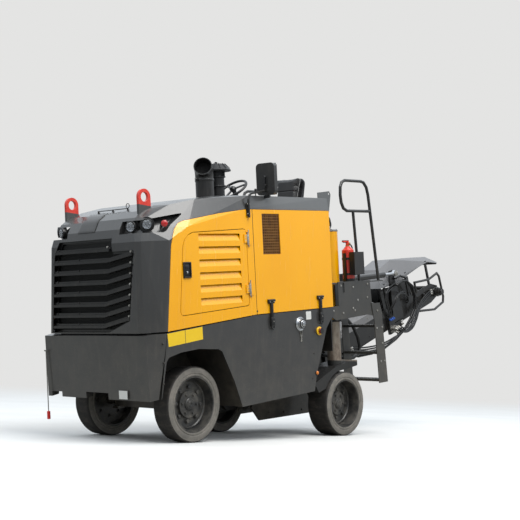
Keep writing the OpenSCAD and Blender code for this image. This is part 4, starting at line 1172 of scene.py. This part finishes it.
horn = spread(turned([(0, 0), (13, 0), (14, 2), (9, 60), (7, 62), (0, 62)], 24), [
    aimed((-73, 8, 36))
])
settle(joined(handle, nozzle, horn), "bottle_hose", hose, "body", bottle)


# ---- Nose fittings ----------------------------------------------------------
# A bare badge plate, the thin hood stay with its ring, the bolts of the skirts
# and the black seal that closes the gaps above and beside the cooler.
def landed(name, spot, way):
    """Where a ray in the body's frame meets a CAD node, and which way its face looks."""
    aim = BODY.to_3x3() @ Vector(way)
    _, place, face, _ = nodes[name].ray_cast(BODY @ (Vector(spot) / 1000), aim)
    return BODY.inverted() @ place, BODY.to_3x3().inverted() @ face


badge = fresh("grid", x_subdivisions=8, y_subdivisions=8, size=1)
for vertex in badge.data.vertices:
    spot = (900, -90 + vertex.co.x * 226, 1616 + vertex.co.y * 168)
    place, face = landed("engine_hood", spot, (-1, 0, 0))
    vertex.co = place + face * 0.0006
changed(badge, "SOLIDIFY", thickness=0.005, offset=1)
settle(eased(badge, 1.5, 2, 50), "badge_plate", black, "body", BODY, 50)
stay, ends = [], []
for k in range(9):
    place, face = landed("engine_hood", (330, -155 + 48 * k, 2100), (0, 0, -1))
    stay.append((place + face * 0.016) * 1000)
    if k % 4 == 0:
        ends.append(aimed((place - face * 0.0005) * 1000, face))
foot = turned([(0, 20), (6, 20), (8, 17), (8, 4), (14, 3), (15, 0), (0, 0)], 20)
ring = fresh(
    "torus", major_radius=0.02, minor_radius=0.0035, major_segments=32, minor_segments=10
)
ring.data.transform(
    Matrix.Translation(stay[8] / 1000 + Vector((0, 0.004, 0.022)))
    @ Matrix.Rotation(math.pi / 2, 4, "Y")
)
settle(joined(cable(stay, 8), spread(foot, ends), ring), "hood_stay", black)


def both(y, spots):
    """Places on both flanks at (x, z) spots, looking outwards."""
    return [aimed((x, s * y, z), (0, s, 0)) for s in (1, -1) for x, z in spots]


bolts("skirt_bolts", 15, 7, both(SKIRT + 0.2, [
    (455, 560), (455, 400), (470, 230), (-760, 760), (-1540, 60), (-1580, 300), (-1745, 600),
]), black)
baffle = eased(plank((440, -515, 1440.3), (514, 290, 1492), 1), 12, 3, 20)
flaps = [
    film([(503, s * y, z) for y, z in ((526, 650), (638, 650), (598, 1436), (526, 1436))], 4)
    for s in (1, -1)
]
settle(joined(baffle, *flaps), "cooler_seal", plastic)


# ---- Platform, ladder and rail fastenings -----------------------------------
# Hexagon bolts through the side plates and the ladder, studs on the deck and the
# steps, a round flange under each rail and a rubber strip before each side plate.
DECK = 978
bolts("platform_bolts", 19, 10, both(702, [
    (-2385, 780), (-2560, 800), (-2295, 700), (-1957, 690), (-2326, 677), (-2571, 940),
    (-2310, 916), (-2100, 940), (-2120, 660),
]))
bolts("ladder_bolts", 19, 10, [aimed((x, 710, z), (0, 1, 0)) for x, z in (
    (-2698, 467), (-2797, 470), (-2745, 110), (-2815, 110), (-2720, 650), (-2790, 300),
)])
stud = eased(turned([(0, 3.2), (7, 3.2), (9, 0), (0, 0)], 12), 0.4)
deck_studs = [
    aimed((x, y, DECK)) for x in range(-2800, -2430, 46) for y in range(-520, 640, 46)
    if not (-2520 < x and abs(y - 600) < 90) and not (x < -2700 and y > 600)
]
step_studs = [
    aimed((x, y, z))
    for x in (-2812, -2778, -2744) for y in range(300, 690, 48) for z in (-70, 220, 505)
]
settle(spread(stud, deck_studs + step_studs), "tread_studs", plate_grey)
foot = turned([(16.2, 0.2), (38, 0.2), (38, 5), (17, 8), (16.2, 8)], 32, closed=True)
spread(eased(foot, 0.6), [aimed((-2480, y, DECK)) for y in (665, -665)])
settle(foot, "rail_feet", black)
for turn, word in SIDES:
    strip = plank((-2049.5, 688, 745), (-2004, 701, 962), 4, 3)
    settle(strip, "rubber_strip_" + word, plastic, "body", turn)


# ---- Leg fittings -----------------------------------------------------------
# Each lifting column runs in a bolted sleeve with a wiper collar and a grey cap,
# and two hose fittings on the left column feed hoses that loop over to the body.
for x, y, low, top in ((-2270, 450, 600, 1510), (-1400, -480, 540, 1100)):
    collar = turned([
        (73.6, 0), (98, 0), (100, 3), (100, 26), (97, 30), (73.6, 30),
    ], 48, closed=True)
    cap = turned([(0, 22), (70, 22), (80, 19), (97, 12), (98, 2), (96, 0.4), (0, 0.4)], 48)
    settle(spread(collar, [aimed((x, y, low - 30))]), "column_wiper_%d" % -x, plastic)
    settle(spread(cap, [aimed((x, y, top))]), "column_cap_%d" % -x, cover)
    bolts("column_bolts_%d" % -x, 15, 8, around((x, y, top + 14), 84, 6)
          + around((x, y, low - 30), 86, 6, 30, (0, 0, -1)))

loops = fan(
    2, 20, (-2300, 432, 1531, 44, 40, 0), (-2322, 436, 1586, 40, 38, 0),
    (-2296, 448, 1650, 26, 20, -24), (-2200, 456, 1672, 0, 16, -26),
    (-2080, 462, 1662, 0, 14, -22), (-1980, 464, 1622, 0, 12, -18),
    (-1936, 464, 1604, 0, 12, -16), (-1924, 464, 1602, 0, 12, -16),
)
elbows = spread(turned([
    (0, 40), (11, 40), (13, 36), (13, 22), (17, 21), (17, 8), (13, 6), (13, 0), (0, 0),
], 20), [aimed((-2300 + 44 * k, 432 + 40 * k, 1524)) for k in (0, 1)])
settle(elbows, "column_elbows", zinc)
settle(joined(*loops), "column_loops", hose, "body", BODY, 60)


# ---- Drum picks and housing -------------------------------------------------
# Round-shank picks with hard metal tips and puller grooves, each in a forged
# block welded to the drum, under a plate housing with bolted side skids.
DRUM = BODY @ tilted((-2.2, -0.34, -0.17), 90, "X")
tool = turned([
    (0, 61), (3, 59.5), (6.5, 53), (8, 47), (11.5, 45), (13.5, 34), (16.5, 26), (20, 20), (20, 14),
    (17, 12.5), (17, 10), (20, 8), (20, 3), (16, 0), (0, 0),
], 18)
block = eased(plank((-24, -19, -30), (24, 19, 2), 2, 1), 5, 2)
pick = joined(tool, block)
PICKS, WIDE, SEAT = 46, 452, 212  # how many, over what width, how far from the axis
places = []
for i in range(PICKS):
    z = WIDE * (i / (PICKS - 1) - 0.5)
    a = math.radians(i * 1440 / PICKS + (i % 2) * 180)
    places.append(
        Matrix.Rotation(a, 4, "Z") @ tilted((SEAT / 1000, 0, z / 1000), 90, "Z")
        @ tilted((0, 0, 0), 60, "X")
    )
carbide = mottled(
    "worn pick steel", ((150, 146, 140), (104, 92, 80)), (40, 4), (60, 3, 0.25, 0.3),
    Metallic=0.85,
)
settle(spread(pick, places), "drum_picks", carbide, "milling_rotor", DRUM)
housing = [
    (-1700, -180), (-1660, -60), (-1850, 240), (-2100, 240), (-2350, 240), (-2600, 240),
    (-2600, 0), (-2560, -300), (-2300, -380), (-2000, -370), (-1760, -340),
]
bolts("housing_bolts_inner", 22, 12, [aimed((x, -39.8, z), (0, 1, 0)) for x, z in housing], black)
bolts("housing_bolts_outer", 22, 12, [
    aimed((x, -640.2, z), (0, -1, 0)) for x, z in housing if x < -1860
], black)


# ---- Conveyor fittings ------------------------------------------------------
# Bearings and a motor at the head roller, blue-capped and plated couplings on
# the valve block, clamped hoses, bolted covers and caps on the cylinders' pins.
BOOM = BODY @ tilted((-2.85, -0.34, 0.12), 180, "Z") @ tilted((0, 0, 0), -15)
bearing = eased(turned([
    (25.2, 0.3), (58, 0.3), (60, 3), (60, 14), (48, 22), (34, 26), (25.2, 26),
], 40, closed=True), 0.8)
settle(spread(bearing, both(235.2, [(2480, 0)])), "head_bearings", black, "boom", BOOM)
corners = [math.radians(45 + 90 * k) for k in range(4)]
bolts("bearing_bolts", 17, 9, both(249, [
    (2480 + 50 * math.cos(a), 50 * math.sin(a)) for a in corners
]), zinc, "boom", BOOM)
fitting = turned([
    (0, 0), (14, 0), (14, 12), (11, 13), (11, 18), (15, 19), (15, 36), (12.6, 38), (12.6, 58),
    (0, 58),
], 12)
blue = mottled(
    "blue plastic caps", ((34, 84, 170), (26, 66, 140)), (30, 3), (50, 3, 0.2, 0.35),
    Coat_Weight=0.3,
)
ports = [(1300 + 36 * k, -281.2, z) for k in range(3) for z in (-130, -90)]
settle(spread(fitting, [aimed(p, (0, -1, 0)) for p in ports] + [
    aimed((1560.2, -249, -96 - 40 * k), (1, 0, 0)) for k in range(2)
]), "valve_fittings", zinc, "boom", BOOM)
cap_form = turned([(0, 0), (13, 0), (15, 3), (15, 22), (12, 26), (0, 26)], 20)
settle(spread(cap_form, [aimed((1310 + 34 * k, -281.2, 12), (0, -1, 0)) for k in range(3)]),
       "port_caps", blue, "boom", BOOM)
bolts("cover_bolts", 15, 7, both(242.2, [(x, 160) for x in (360, 640, 920, 1200)]),
      zinc, "boom", BOOM)
bolts("boom_bolts", 19, 9, both(235.2, [
    (120, 60), (120, -60), (2060, 60), (2060, -60), (2300, 0), (900, -60), (700, -60),
]), black, "boom", BOOM)
lines = fan(
    3, 19, (1300, -337, -90, 36, 0, 0), (1312, -372, -104, 36, -6, 0),
    (1390, -392, -168, 30, 6, 0), (1560, -386, -196, 0, 10, 14), (1760, -350, -150, 0, 10, 22),
    (1960, -304, -64, 0, 0, 26), (2200, -266, -14, 0, 0, 26), (2380, -256, 6, 0, 0, 24),
    (2425, -250, 8, 0, 0, 22),
)
lines += fan(
    3, 19, (1300, -337, -130, 36, 0, 0), (1290, -368, -150, 30, 0, 0),
    (1180, -380, -196, 0, 8, 12), (980, -352, -214, 0, 12, 20), (760, -300, -186, 0, 0, 26),
    (560, -262, -130, 0, 0, 26), (430, -250, -96, 0, 0, 26),
)
lines += fan(
    2, 16, (1330, -262, 40.2, 40, 0, 0), (1330, -276, 96, 40, 0, 0),
    (1380, -318, 190, 30, -12, 0), (1490, -338, 268, 20, -10, 0), (1640, -330, 268, 0, -12, -30),
    (1740, -300, 196, 0, -10, -30), (1800, -262, 120, 0, 0, -30), (1812, -238.5, 100, 0, 0, -30),
)
settle(joined(*lines), "boom_lines", hose, "boom", BOOM, 60)
ferrule = turned([(9.8, 0), (14, 1), (14, 20), (12.4, 23), (12.4, 44), (9.8, 46)], 20, closed=True)
settle(spread(ferrule, [
    aimed((1300 + 36 * k, -337, z), (0, -0.9, -0.4)) for k in range(3) for z in (-90, -130)
] + [aimed((2392, -254, 7 + 23 * k), (-1, 0, 0)) for k in range(3)] + [
    aimed((460, -252, -104 + 26 * k), (1, 0, 0)) for k in range(3)
]), "line_ferrules", zinc, "boom", BOOM)
clamps = [plank((x - 14, y0, z0), (x + 14, y0 + 22, z0 + 96), 4, 3) for x, y0, z0 in (
    (2200, -257, -30), (640, -257, -180),
)]
motor = spread(turned([
    (0, 96), (34, 96), (38, 92), (38, 60), (52, 58), (52, 30), (60, 28), (60, 0), (0, 0),
], 32), [aimed((2480, -261, 0), (0, -1, 0))])
settle(joined(*clamps, motor), "head_motor", black, "boom", BOOM)
pins = turned([(0, 9), (20, 9), (23, 7), (34, 5), (34, 0.4), (0, 0.4)], 32)
settle(spread(pins, both(330.2, [(1560, 525)])), "rod_pin_caps", zinc, "boom", BOOM)
